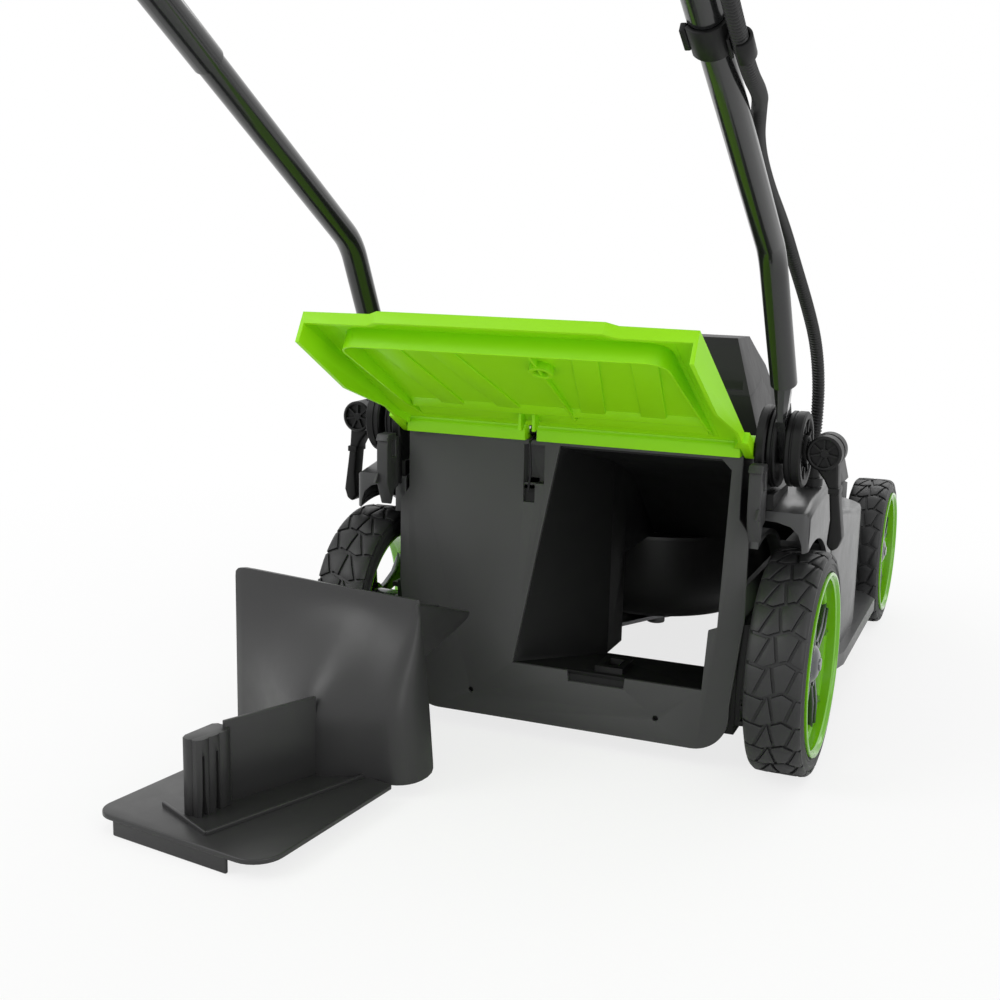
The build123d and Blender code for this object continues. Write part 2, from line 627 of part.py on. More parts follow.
key_grip = pack_x - 1.1
key = box(-3, 3, pack_y + 4, pack_y + 26, pack_z, pack_z + 36)
key += box(-key_grip, key_grip, pack_y - 2, pack_y + 32, pack_z + 28, pack_z + 44)
add("safety_key", key)

# ---- motor and blade -----------------------------------------------------------------------
def pod_solid(inset):
    """The pod's round bowl, inset by a wall: radius against height, turned about the spindle."""
    r = pod_r - inset
    z = pod_bottom_z + inset
    top = deck_top_z - wall
    outline = [(0, z), (r - 30, z), (r - 13, z + 6), (r - 4, z + 20), (r + 4, top), (0, top)]
    face = Plane.XZ * Polygon(*outline, align=None)
    return Pos(0, spindle_y, 0) * revolve(face, axis=Axis.Z)


floor_z = pod_bottom_z + wall
pod_top = deck_top_z - wall
pod = pod_solid(0) - pod_solid(wall)
pod -= rod_z(pod_r - 6, pod_top - 4, pod_top + 1, 0, spindle_y)
pod += rod_z(pod_r + 14, pod_top - 4, pod_top, 0, spindle_y) - rod_z(pod_r - 6, pod_top - 5, pod_top + 1, 0, spindle_y)
pod += rod_z(bearing_r + 6, floor_z, floor_z + bearing_h, 0, spindle_y)
pod -= rod_z(bearing_r, floor_z, floor_z + bearing_h + 1, 0, spindle_y)
pod -= rod_z(shaft_r + 2, pod_bottom_z - 1, floor_z + 1, 0, spindle_y)
add("motor_pod", pod)
add("spindle_bearing", rod_z(bearing_r, floor_z, floor_z + bearing_h, 0, spindle_y)
    - rod_z(shaft_r + run_gap, floor_z - 1, floor_z + bearing_h + 1, 0, spindle_y))

can_z = floor_z + bearing_h
can_top = can_z + motor_h
can = rod_z(motor_r, can_z, can_top, 0, spindle_y)
can = round_edges(can, can.edges().group_by(Axis.Z)[-1], 6)
can -= rod_z(motor_r - 6, can_z + 6, can_top - 6, 0, spindle_y)
can -= rod_z(shaft_r + 1, can_z - 1, can_z + 7, 0, spindle_y)
add("motor_can", can)
shaft = rod_z(shaft_r, blade_z - 8, can_top - 10, 0, spindle_y)
shaft += rod_z(motor_r - 9, can_z + 12, can_top - 12, 0, spindle_y)
add("motor_rotor", shaft)
carrier_z = blade_z + blade_t
carrier = rod_z(36, carrier_z, carrier_z + 4, 0, spindle_y) + rod_z(18, carrier_z, pod_bottom_z - 2, 0, spindle_y)
for k in range(8):
    carrier += Pos(0, spindle_y, 0) * Rot(0, 0, 45 * k) * box(16, 34, -1.5, 1.5, carrier_z + 3, pod_bottom_z - 3)
carrier -= rod_z(shaft_r, carrier_z - 1, pod_bottom_z, 0, spindle_y)
add("blade_carrier", carrier)


def make_blade():
    half = blade_len / 2
    flat = box(-half, half, -blade_w / 2, blade_w / 2, 0, blade_t)
    flat &= Pos(0, 0, blade_t / 2) * Cylinder(half, blade_t)
    for side in (-1, 1):
        wing = side_plate([(8, 0), (blade_w / 2, 14), (blade_w / 2, 14 + blade_t), (8, blade_t)], half - 62, half - 8)
        cut = box(half - 62, half + 1, 8, blade_w, -1, blade_t + 1)
        if side < 0:
            wing = Rot(0, 0, 180) * wing
            cut = Rot(0, 0, 180) * cut
        flat = flat - cut + wing
    flat -= Cylinder(shaft_r, 30)
    return Pos(0, spindle_y, blade_z) * Rot(0, 0, blade_turn) * flat


add("blade", make_blade())
bolt = rod_z(9, blade_z - 12, blade_z - 3, 0, spindle_y) + rod_z(20, blade_z - 3, blade_z, 0, spindle_y)
bolt -= rod_z(shaft_r, blade_z - 8, blade_z + 1, 0, spindle_y)
add("blade_bolt", bolt)
board_x = 34 - neck_half
board_y = bulge_start + 8
board_z = deck_top_z + 20
board = box(board_x, board_x + 98, board_y, board_y + 86, board_z, board_z + 2)
board += box(board_x + 12, board_x + 52, board_y + 6, board_y + 74, board_z + 2, board_z + 20)
for x in (board_x + 2, board_x + 88):
    board += box(x, x + 6, board_y + 4, board_y + 10, deck_top_z, board_z)
add("controller_board", board)

# ---- handle mounts -------------------------------------------------------------------------
lower_pitch = math.degrees(math.atan2(bend_z - pivot_z, pivot_y - bend_y))


def make_ear():
    plate = rod_x(disc_r + 4, ear_x, ear_out, pivot_y, pivot_z)
    foot_y = pivot_y + 32
    foot_z = cover_back_z - 6
    plate += side_plate([(0, pivot_z - 6), (pivot_y + 29, pivot_z - 10), (foot_y, foot_z), (0, foot_z)], ear_x, ear_out)
    plate += box(ear_x - 3, ear_out + 8, cover_back_y + 0.2, foot_y, foot_z, foot_z + 19)
    plate -= side_plate(side_outline(-hair), neck_half, deck_w / 2)
    plate -= box(ear_x - 10, ear_out + 10, cover_back_y, foot_y + 4, foot_z - 10, foot_z + 7)
    plate -= rod_x(rod_r, ear_x - 10, ear_out + 20, pivot_y, pivot_z)
    return plate


ear = make_ear()
add("handle_brackets", [ear, mirrored(ear)])
hook_x0 = ear_x + 1
hook_x1 = hook_x0 + 10
hook_top = panel_top_z - 6
hook = side_plate([(0, hook_top - 43), (0, hook_top), (-20, hook_top), (-22, hook_top - 8), (-22, hook_top - 37),
                   (-13, hook_top - 57), (-8, hook_top - 45)], hook_x0, hook_x1)
hook -= box(hook_x0 - 1, hook_x1 + 1, -13, -6, hook_top - 17, hook_top + 1)
add("bag_hooks", [hook, mirrored(hook)])
skewer = rod_x(rod_r, ear_x, cam_x + 3.5, pivot_y, pivot_z) + rod_x(8, ear_x - 3, ear_x, pivot_y, pivot_z)
skewer += rod_y(trunnion_r, pivot_y - 10, pivot_y + 10, cam_x, pivot_z)
add("clamp_rods", [skewer, mirrored(skewer)])
cam_washer = rod_x(11, disc_out + seat_gap, cam_x - cam_r - seat_gap, pivot_y, pivot_z)
cam_washer -= rod_x(rod_r + run_gap, disc_out, cam_x, pivot_y, pivot_z)
add("cam_washers", [cam_washer, mirrored(cam_washer)])


slot_end = math.radians(180 - cam_swing - 2)


def make_cam_lever():
    barrel = rod_y(cam_r, pivot_y - cam_len / 2, pivot_y + cam_len / 2, cam_x, pivot_z)
    barrel -= rod_y(cam_r + 1, pivot_y - 1.8, pivot_y + 1.8, cam_x, pivot_z) - rod_y(cam_r - 3, 0, 60, cam_x, pivot_z)
    for k in range(7):
        window = box(4.5, cam_r - 2.5, -1, pivot_y - cam_len / 2 + 4, -1.7, 1.7)
        barrel -= Pos(cam_x, 0, pivot_z) * Rot(0, 360 / 7 * k, 0) * window
    arm = back_plate([(cam_x + x, pivot_z + z) for x, z in ((-8, -8), (5, -8), (9, -36), (17, -72), (13, -79),
                                                            (7, -78), (1, -40))], pivot_y - 8, pivot_y + 8)
    lever = barrel + arm
    slot = rod_r + seat_gap
    reach = 2 * cam_r - 2
    across = slot * math.sin(slot_end)
    down = slot * math.cos(slot_end)
    swept = [(0, -slot), (-reach, -slot), (-reach, reach),
             (reach * math.cos(slot_end) + across, reach * math.sin(slot_end) - down), (across, -down)]
    lever -= back_plate([(cam_x + x, pivot_z + z) for x, z in swept], pivot_y - slot, pivot_y + slot)
    lever -= rod_y(8, pivot_y - slot, pivot_y + slot, cam_x, pivot_z)
    lever -= rod_y(trunnion_r + run_gap, pivot_y - 10.5, pivot_y + 10.5, cam_x, pivot_z)
    return lever


lever = make_cam_lever()
add("cam_lever_right", lever)
add("cam_lever_left", mirrored(lever))

# ---- handle --------------------------------------------------------------------------------
pitch = math.radians(upper_pitch)
low = math.radians(lower_pitch)


def on_upper(x, run, lift=0.0):
    """A point beside the upper tubes: run from the bend, lift out of their plane."""
    return (x, bend_y - run * math.cos(pitch) + lift * math.sin(pitch),
            bend_z + run * math.sin(pitch) + lift * math.cos(pitch))


def on_lower(x, run, lift=0.0):
    return (x, pivot_y - run * math.cos(low) + lift * math.sin(low),
            pivot_z + run * math.sin(low) + lift * math.cos(low))


blade_mid = (blade_in + blade_out) / 2


def make_lower_tube():
    foot = Vector(*on_lower(handle_x + 3, 62))
    bend = Vector(handle_x, bend_y, bend_z)
    tube = tube_along([foot, bend, on_upper(handle_x, joint_run + 60)], 58.0, tube_r)
    bore = tube_along([foot + (bend - foot) * 0.08, bend, on_upper(handle_x, joint_run + 62)], 58.0, tube_r - tube_wall)
    axis_low = Vector(0, -math.cos(low), math.sin(low))
    base = Plane(origin=on_lower(blade_mid, 34), x_dir=(1, 0, 0), z_dir=axis_low)
    neck = Plane(origin=on_lower(handle_x + 3, 69), x_dir=(1, 0, 0), z_dir=axis_low)
    half_t = blade_end_t / 2
    half_w = blade_end_w / 2
    flattened = [(-half_t + 1.5, -half_w), (half_t - 1.5, -half_w), (half_t, 4.5 - half_w), (half_t, half_w - 4.5),
                 (half_t - 1.5, half_w), (1.5 - half_t, half_w), (-half_t, half_w - 4.5), (-half_t, 4.5 - half_w)]
    round_end = [((tube_r - 2) * math.cos(math.radians(a)), (tube_r - 2) * math.sin(math.radians(a)))
                 for a in (-110, -70, -20, 20, 70, 110, 160, 200)]
    taper = loft([base * Polygon(*flattened, align=None), neck * Polygon(*round_end, align=None)], ruled=True)
    flat_start = Plane(origin=on_lower(blade_mid, 0), x_dir=(1, 0, 0), z_dir=axis_low)
    flat = extrude(flat_start * Rectangle(blade_end_t, blade_end_w), amount=34.2)
    flat += rod_x(half_w, blade_in, blade_out, pivot_y, pivot_z)
    whole = tube + taper + flat - bore
    whole -= rod_x(rod_r + run_gap, blade_in - 5, blade_out + 5, pivot_y, pivot_z)
    return whole


lower = make_lower_tube()
add("lower_handle_right", lower)
add("lower_handle_left", mirrored(lower))
inner_disc = rod_x(disc_r, disc_in, blade_in - hair, pivot_y, pivot_z)
outer_disc = rod_x(disc_r - 1, blade_out + hair, disc_out, pivot_y, pivot_z)
outer_disc = round_edges(outer_disc, outer_disc.edges().group_by(Axis.X)[-1], 2.5)
discs = []
for disc in (inner_disc, outer_disc):
    disc -= rod_x(rod_r + run_gap, ear_x, cam_x, pivot_y, pivot_z)
    discs += [disc, mirrored(disc)]
add("pivot_discs", discs)


def make_upper():
    top = joint_run + upper_run
    points = [on_upper(-handle_x, joint_run), on_upper(-handle_x, top), on_upper(handle_x, top),
              on_upper(handle_x, joint_run)]
    return tube_along(points, 70.0, upper_r, tube_wall)


add("upper_handle", make_upper())
tilt = Plane(origin=on_upper(0, 0), x_dir=(1, 0, 0), z_dir=(0, math.sin(pitch), math.cos(pitch)))
on_tilt = Location(tilt)


def tilted_box(x0, x1, run0, run1, lift0, lift1):
    return on_tilt * box(x0, x1, -run1, -run0, lift0, lift1)


def tilted_rod_x(radius, x0, x1, run, lift):
    return on_tilt * rod_x(radius, x0, x1, -run, lift)


top_run = joint_run + upper_run
grip_half = handle_x - 79
grip = tilted_rod_x(upper_r + 4.25, -grip_half, grip_half, top_run, 0)
grip -= tilted_rod_x(upper_r + run_gap, -grip_half - 2, grip_half + 2, top_run, 0)
add("handle_grip", grip)


def bored_for_tube(block, run, length):
    """The block with a bore for the right-hand upper tube through it."""
    return block - on_tilt * Pos(handle_x, -run, 0) * Rot(90, 0, 0) * Cylinder(upper_r + run_gap, length)


case_x0 = handle_x - 52
case_low = top_run - 196
case_high = top_run - 118
switch_case = tilted_box(case_x0, handle_x + 6, case_low, case_high, -16, 22)
switch_case = round_edges(switch_case, switch_case.edges(), 4)
bail_run = top_run - 136
bail_lift = 8.0
bail_r = 4.0
button_r = 9.0
button_x = handle_x - 29
button_run = top_run - 170
switch_case = bored_for_tube(switch_case, (case_low + case_high) / 2, 100)
switch_case -= tilted_rod_x(bail_r + run_gap, case_x0 - 1, case_x0 + 16, bail_run, bail_lift)
switch_case -= on_tilt * rod_z(button_r + 0.4, 8, 24, button_x, -button_run)
add("switch_box", switch_case)
button = rod_z(button_r, 12.6, 27, button_x, -button_run)
button = round_edges(button, button.edges().group_by(Axis.Z)[-1], 2)
add("start_button", on_tilt * button)
left_block = tilted_box(handle_x - 28, handle_x + 6, bail_run - 14, bail_run + 14, -14, 20)
left_block = round_edges(left_block, left_block.edges(), 3)
left_block = bored_for_tube(left_block, bail_run, 60)
left_block -= tilted_rod_x(bail_r + run_gap, handle_x - 30, handle_x - 14, bail_run, bail_lift)
add("bail_bracket", mirrored(left_block))


def bail_point(x, run, lift):
    return tuple((on_tilt * Location((x, -run, lift))).position)


bail_top = top_run - 14
bail = tube_along([bail_point(case_x0 + 15, bail_run, bail_lift), bail_point(case_x0 - 14, bail_run, bail_lift),
                   bail_point(case_x0 - 18, bail_top, 58), bail_point(20 - case_x0, bail_top, 58),
                   bail_point(33.6 - handle_x, bail_run, bail_lift), bail_point(15 - handle_x, bail_run, bail_lift)],
                  2 * bail_r, bail_r)
add("bail_lever", bail)

# ---- cable conduit -------------------------------------------------------------------------
conduit_r = 5.0
conduit_end = (180.0, 82.0, 226.5)
conduit_route = [
    on_upper(142, top_run - 196.6, 0), on_upper(142, 640, 2), on_upper(147, 606, 18), on_upper(166, 572, 24),
    on_upper(184, 540, 12), on_upper(188, 492, -4), on_upper(187, 430, -8), on_upper(188, 366, -6),
    on_upper(186, 314, -10), on_upper(185.5, 276, -10.2), on_upper(185.5, 212, -9.4), on_upper(184, 172, 5),
    on_upper(176, 140, 19), on_upper(168, 100, 21.5), on_upper(167.5, 54, 21.5), (169, -36, 432), (173, 0, 402),
    (178, 32, 372), (182, 58, 343), (183.5, 75, 310), (182.5, 83, 278), (180.8, 84, 251), conduit_end]


def corner_radii(points):
    radii = []
    for before, here, after in zip(points, points[1:], points[2:]):
        a = Vector(*here) - Vector(*before)
        b = Vector(*after) - Vector(*here)
        half_turn = math.radians(a.get_angle(b)) / 2
        radii.append(0.45 * min(a.length, b.length) / math.tan(half_turn))
    return radii


conduit_path = FilletPolyline(*conduit_route, radius=corner_radii(conduit_route))
conduit_start = Plane(origin=conduit_path @ 0, z_dir=conduit_path % 0)
conduit = sweep(conduit_start * Circle(conduit_r), path=conduit_path)
print("conduit length", round(conduit_path.length))
add("cable_conduit", conduit)
clip_l = 28.0
clip_run = joint_run + clip_l / 2
clip_block = tilted_box(handle_x - 15, handle_x + 26, joint_run, joint_run + clip_l, -18, 16)
clip_block = round_edges(clip_block, clip_block.edges(), 4)
clip_block = bored_for_tube(clip_block, clip_run, 60)
clip_block -= on_tilt * Pos(handle_x + 18.5, -clip_run, -9.6) * Rot(90, 0, 0) * Cylinder(conduit_r + 1.6, 60)
add("cable_clip", clip_block)
end_x, end_y, end_z = conduit_end
grommet_r = conduit_r + 3
grommet = rod_z(grommet_r + 2.5, end_z - 0.9, end_z + 5.5, end_x, end_y)
grommet += rod_z(grommet_r, end_z + 4.5, end_z + 13.5, end_x, end_y)
grommet -= rod_z(grommet_r - 1.5, end_z - 2.5, end_z + 15.5, end_x, end_y)
add("cable_grommet", grommet)

# ---- mulch plug, standing on the ground beside the mower -----------------------------------
plug_x = -150.0
plug_y = -215.0
plug_turn = -9.0
plug_place = Pos(plug_x, plug_y, 0) * Rot(0, 0, plug_turn)


plug_z = 15.0                # top of the plug's floor plate
plug_t = 4.0
plug_back = 98.0
plug_top_z = 148.0


def bar(start, end, width, z0, z1):
    """A straight rib on the plug's floor, from start to end (x, y)."""
    run = math.dist(start, end)
    turn = math.degrees(math.atan2(end[1] - start[1], end[0] - start[0]))
    return Pos(start[0], start[1], 0) * Rot(0, 0, turn) * box(0, run, -width / 2, width / 2, z0, z1)


def plug_shell(inset):
    """The plug's bowed front wall, with everything behind it; inset by a wall it is the hollow at the back."""
    deep = 30 if inset else 0
    foot = [(-118.5, 98), (-90, 88), (-40, 60), (8, 40), (44, 60), (70, 66.5), (79, 84), (76, 106), (-118.5, 106)]
    waist = [(-118.5, 98), (-90, 89), (-40, 62), (8, 41), (44, 62), (67, 70), (74.5, 86), (72, 105), (-118.5, 105)]
    crown = [(-118.5, 98), (-80, 98), (-40, 98), (8, 98), (40, 98), (58, 98), (64.5, 98.6), (64.5, 102), (-118.5, 102)]
    sections = []
    for z, points in ((plug_z - plug_t, foot), (72, waist), (plug_top_z, crown)):
        front = [(x - inset * (x > 60) + inset * (x < -100), y + inset) for x, y in points[:7]]
        back = [(x - inset * (x > 60) + inset * (x < -100), y + deep) for x, y in points[7:]]
        sections.append(Plane(origin=(0, 0, z)) * Polygon(*front, *back, align=None))
    return loft(sections, ruled=True)


def make_plug():
    floor = plan_plate([(-79, -96), (78, -96), (69, plug_back), (-79, plug_back)], plug_z - plug_t, plug_z)
    floor = round_edges(floor, floor.edges().filter_by(Axis.Z).group_by(Axis.Y)[0], 20)
    floor -= plug_shell(plug_t)
    lip = box(-60, 46, -96, -92.5, 0, plug_z - 1)
    plate = plug_shell(0) - plug_shell(plug_t)
    front = back_plate([(-118.5, 11), (-118.5, plug_top_z), (64.5, plug_top_z), (80, 11)], 0, 120)
    plate &= round_edges(front, front.edges().filter_by(Axis.Y), 9)
    web = bar((-11, -34), (9, 44), 4, plug_z - 1, 77)
    post = box(-23, -5, -66, -30, plug_z - 1, 72)
    post = round_edges(post, post.edges().filter_by(Axis.Z), 5)
    post = round_edges(post, post.edges().group_by(Axis.Z)[-1], 3)
    for y in (-56, -44):
        post -= box(-13, -4, y, y + 3, plug_z + 4, 62)
    post -= box(-20, -8, -62, -34, plug_z + 4, 66)
    ribs = bar((-44, -62), (16, -82), 2.4, plug_z - 1, plug_z + 3) + bar((16, -82), (44, 62), 2.4, plug_z - 1, plug_z + 3)
    nose = side_plate([(94, 86), (108, 96), (120, 104), (146, 111), (165, 117), (171, 121), (169, 124), (98, 145)],
                      -22, 65)
    for x in (-19, 9, 37):
        nose -= side_plate([(104, 100), (122, 109), (146, 115), (162, 121), (162, 146), (104, 146)], x, x + 25)
    nose &= box(-120, 120, 94, 200, 60, plug_top_z - 3)
    return plug_place * (floor + lip + plate + web + post + ribs + nose)


add("mulch_plug", make_plug())

for name, shape in nodes.items():
    if isinstance(shape, (list, tuple, ShapeList)):
        shape = Compound(children=list(shape))
    export_step(shape, f"parts/{name}.step")
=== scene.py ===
import bpy
import json
import math
from mathutils import Matrix, Vector


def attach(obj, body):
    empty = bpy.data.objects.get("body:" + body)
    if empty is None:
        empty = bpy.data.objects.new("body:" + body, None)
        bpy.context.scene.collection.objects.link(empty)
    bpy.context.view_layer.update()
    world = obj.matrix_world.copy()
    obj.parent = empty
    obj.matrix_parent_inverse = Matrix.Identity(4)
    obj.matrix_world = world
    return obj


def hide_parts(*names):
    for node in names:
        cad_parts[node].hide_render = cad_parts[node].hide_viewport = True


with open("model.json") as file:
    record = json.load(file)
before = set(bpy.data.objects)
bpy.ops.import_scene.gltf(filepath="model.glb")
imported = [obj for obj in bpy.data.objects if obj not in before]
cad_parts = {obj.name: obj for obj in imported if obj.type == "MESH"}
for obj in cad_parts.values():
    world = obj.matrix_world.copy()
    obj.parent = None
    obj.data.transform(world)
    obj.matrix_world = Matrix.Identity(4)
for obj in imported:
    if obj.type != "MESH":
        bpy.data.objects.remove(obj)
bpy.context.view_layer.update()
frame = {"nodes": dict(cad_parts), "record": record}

mm = 0.001


def restAll():
    if bpy.context.object and bpy.context.object.mode != "OBJECT":
        bpy.ops.object.mode_set(mode="OBJECT")
    bpy.ops.object.select_all(action="DESELECT")


def takeUp(piece):
    restAll()
    piece.select_set(True)
    bpy.context.view_layer.objects.active = piece
    return piece


def editAll(piece):
    takeUp(piece)
    bpy.ops.object.mode_set(mode="EDIT")
    bpy.ops.mesh.select_all(action="SELECT")


def leaveEdit():
    bpy.ops.object.mode_set(mode="OBJECT")


def faceOut(piece):
    editAll(piece)
    bpy.ops.mesh.normals_make_consistent(inside=False)
    leaveEdit()
    return piece


def modify(piece, kind, **settings):
    takeUp(piece)
    modifier = piece.modifiers.new(kind.title(), kind)
    for key, value in settings.items():
        setattr(modifier, key, value)
    bpy.ops.object.modifier_apply(modifier=modifier.name)
    return piece


def smooth(piece, angle=32):
    takeUp(piece)
    bpy.ops.object.shade_smooth_by_angle(angle=math.radians(angle))
    return piece


def bevel(piece, width, segments, angle=50, **settings):
    # rounds the edges between faces that meet at more than angle
    return modify(piece, "BEVEL", width=width * mm, segments=segments, limit_method="ANGLE",
                  angle_limit=math.radians(angle), **settings)


def soften(piece, width, segments, angle=32):
    bevel(piece, width, segments, angle, miter_outer="MITER_ARC")
    return smooth(piece, angle)


def settle(piece, name):
    takeUp(piece)
    bpy.ops.object.transform_apply(location=True, rotation=True, scale=True)
    piece.name = name
    return piece


def block(name, x0, x1, y0, y1, z0, z1):
    restAll()
    middle = ((x0 + x1) / 2 * mm, (y0 + y1) / 2 * mm, (z0 + z1) / 2 * mm)
    bpy.ops.mesh.primitive_cube_add(size=1, location=middle)
    piece = bpy.context.object
    piece.scale = ((x1 - x0) * mm, (y1 - y0) * mm, (z1 - z0) * mm)
    return settle(piece, name)


def barrelX(name, radius, start, end, y, z, steps):
    # a round bar along X
    restAll()
    middle = ((start + end) / 2 * mm, y * mm, z * mm)
    bpy.ops.mesh.primitive_cylinder_add(vertices=steps, radius=radius * mm, depth=(end - start) * mm,
                                        location=middle, rotation=(0, math.pi / 2, 0))
    return settle(bpy.context.object, name)


def sheet(name, columns, rows, place):
    # a grid of columns x rows points, each put where place(column, row) says
    restAll()
    bpy.ops.mesh.primitive_grid_add(x_subdivisions=columns - 1, y_subdivisions=rows - 1, size=0.2)
    piece = bpy.context.object
    piece.name = name
    for index, vertex in enumerate(piece.data.vertices):
        vertex.co = Vector(place(index % columns, index // columns)) * mm
    return piece


def loop(name, points, fill):
    # a closed line through the points, open or filled
    restAll()
    bpy.ops.mesh.primitive_circle_add(vertices=len(points), radius=0.01, fill_type=fill)
    piece = bpy.context.object
    piece.name = name
    for vertex, point in zip(piece.data.vertices, points):
        vertex.co = Vector(point) * mm
    editAll(piece)
    return piece


def plate(name, outline, axis, start, end):
    # a flat plate: the outline lies across the axis, its points in X, Y, Z order without that axis
    def place(p, depth):
        return {"X": (depth, p[0], p[1]), "Y": (p[0], depth, p[1]), "Z": (p[0], p[1], depth)}[axis]
    piece = loop(name, [place(point, start) for point in outline], "NGON")
    shift = Vector(place((0, 0), end - start)) * mm
    bpy.ops.mesh.extrude_region_move(TRANSFORM_OT_translate={"value": shift})
    return faceOut(piece)


def turned(name, profile, axis, first, second, steps):
    # a turned piece: the closed profile (radius, along) is spun round an axis through (first, second)
    def place(r, along):
        return {"X": (along, first, second + r), "Y": (first + r, along, second),
                "Z": (first + r, second, along)}[axis]
    piece = loop(name, [place(r, along) for r, along in profile], "NOTHING")
    bpy.ops.mesh.spin(steps=steps, angle=2 * math.pi, center=Vector(place(0, 0)) * mm,
                      axis={"X": (1, 0, 0), "Y": (0, 1, 0), "Z": (0, 0, 1)}[axis])
    bpy.ops.mesh.select_all(action="SELECT")
    bpy.ops.mesh.remove_doubles(threshold=1e-6)
    return faceOut(piece)


def join(name, pieces):
    restAll()
    for piece in pieces:
        piece.select_set(True)
    bpy.context.view_layer.objects.active = pieces[0]
    bpy.ops.object.join()
    pieces[0].name = name
    return pieces[0]


def cut(piece, cutter):
    modify(piece, "BOOLEAN", object=cutter, operation="DIFFERENCE", solver="EXACT")
    bpy.data.objects.remove(cutter)
    return piece


def twin(piece, name, matrix):
    # a copy with its own mesh, moved by the matrix
    other = piece.copy()
    other.data = piece.data.copy()
    bpy.context.collection.objects.link(other)
    other.name = name
    other.data.transform(matrix)
    if matrix.determinant() < 0:
        editAll(other)
        bpy.ops.mesh.flip_normals()
        leaveEdit()
    return other


mirrorX = Matrix.Scale(-1, 4, (1, 0, 0))


def moveBy(x, y, z):
    return Matrix.Translation(Vector((x, y, z)) * mm)


def turnBy(degrees, axis):
    return Matrix.Rotation(math.radians(degrees), 4, axis)


def turnAbout(axis, degrees, centre):
    spot = Vector(centre) * mm
    return Matrix.Translation(spot) @ turnBy(degrees, axis) @ Matrix.Translation(-spot)


def fromNode(node, name):
    # a clean copy of a solid's mesh: loose triangles are merged, and flat faces made whole again
    mesh = frame["nodes"][node].data.copy()
    mesh.materials.clear()
    piece = bpy.data.objects.new(name, mesh)
    bpy.context.collection.objects.link(piece)
    editAll(piece)
    bpy.ops.mesh.remove_doubles(threshold=2e-6)
    bpy.ops.mesh.dissolve_limited(angle_limit=math.radians(1))
    leaveEdit()
    if piece.data.has_custom_normals:
        bpy.ops.mesh.customdata_custom_splitnormals_clear()
    return piece


def deliver(piece, node, look=None):
    # the piece stands in for its node, in the node's finish or in a look of its own
    slotName = slotOf[node]
    piece.data.materials.clear()
    piece.data.materials.append(finishes[look or slotName])
    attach(piece, bodyOf[node])
    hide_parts(node)


# shader maths: a socket that can be added and multiplied
class Signal:
    def __init__(self, finish, socket):
        self.finish = finish
        self.socket = socket

    def maths(self, operation, first, second):
        return self.finish.node("ShaderNodeMath", {"operation": operation}, {0: first, 1: second})

    def __add__(self, other):
        return self.maths("ADD", self, other)

    def __radd__(self, other):
        return self.maths("ADD", other, self)

    def __mul__(self, other):
        return self.maths("MULTIPLY", self, other)

    def __rmul__(self, other):
        return self.maths("MULTIPLY", other, self)


class Finish:
    def __init__(self, name, holder=None, shader="Principled BSDF"):
        self.material = holder or bpy.data.materials.new(name)
        self.material.use_nodes = True
        self.tree = self.material.node_tree
        self.shader = self.tree.nodes[shader]

    def feed(self, socket, value):
        if isinstance(value, Signal):
            self.tree.links.new(value.socket, socket)
        else:
            socket.default_value = value

    def node(self, kind, settings, inputs, output=0):
        made = self.tree.nodes.new(kind)
        for key, value in settings.items():
            setattr(made, key, value)
        for key, value in inputs.items():
            self.feed(made.inputs[key], value)
        return Signal(self, made.outputs[output])

    def place(self):
        return self.node("ShaderNodeTexCoord", {}, {}, "Object")

    def noise(self, scale, detail, rough=0.55, at=None):
        return self.node("ShaderNodeTexNoise", {}, {"Vector": at or self.place(), "Scale": scale,
                                                    "Detail": detail, "Roughness": rough})

    def between(self, mask, low, high):
        # a colour that runs from low to high with the mask
        return self.node("ShaderNodeMix", {"data_type": "RGBA"},
                         {"Factor": mask, 6: (*low, 1), 7: (*high, 1)}, 2)

    def set(self, **values):
        for key, value in values.items():
            self.feed(self.shader.inputs[key.replace("_", " ")], value)

    def bump(self, height, strength, distance):
        heights = {"Height": height, "Strength": strength, "Distance": distance * mm}
        self.set(Normal=self.node("ShaderNodeBump", {}, heights))
        return self


def shades(colour, darker, lighter):
    # two shades of a colour
    return [c * darker for c in colour], [min(1.0, c * lighter) for c in colour]


def mouldedFinish(name, colour, roughness, grain, spread=0.10, specular=0.5, coat=0.0):
    # moulded plastic: spark-eroded grain, slow colour drift, and rubbed patches that shine a little more
    finish = Finish(name)
    drift = finish.noise(9.0, 3.0)
    rubbed = finish.noise(60.0, 5.0, 0.6)
    fine = finish.noise(1900.0, 2.0, 0.5)
    finish.set(Base_Color=finish.between(drift, *shades(colour, 1 - spread, 1 + spread)),
               Roughness=rubbed * 0.16 + (roughness - 0.08), Specular_IOR_Level=specular,
               Coat_Weight=coat, Coat_Roughness=0.12)
    return finish.bump(fine, grain, 0.12).material


def paintedFinish(name, colour, roughness, metallic, coat):
    # powder coat: a faint orange peel under a clear gloss
    finish = Finish(name)
    peel = finish.noise(420.0, 2.0, 0.4)
    drift = finish.noise(14.0, 2.0)
    finish.set(Base_Color=finish.between(drift, *shades(colour, 0.88, 1.12)),
               Roughness=peel * 0.10 + (roughness - 0.05), Metallic=metallic, Coat_Weight=coat,
               Coat_Roughness=0.08)
    return finish.bump(peel, 0.06, 0.25).material


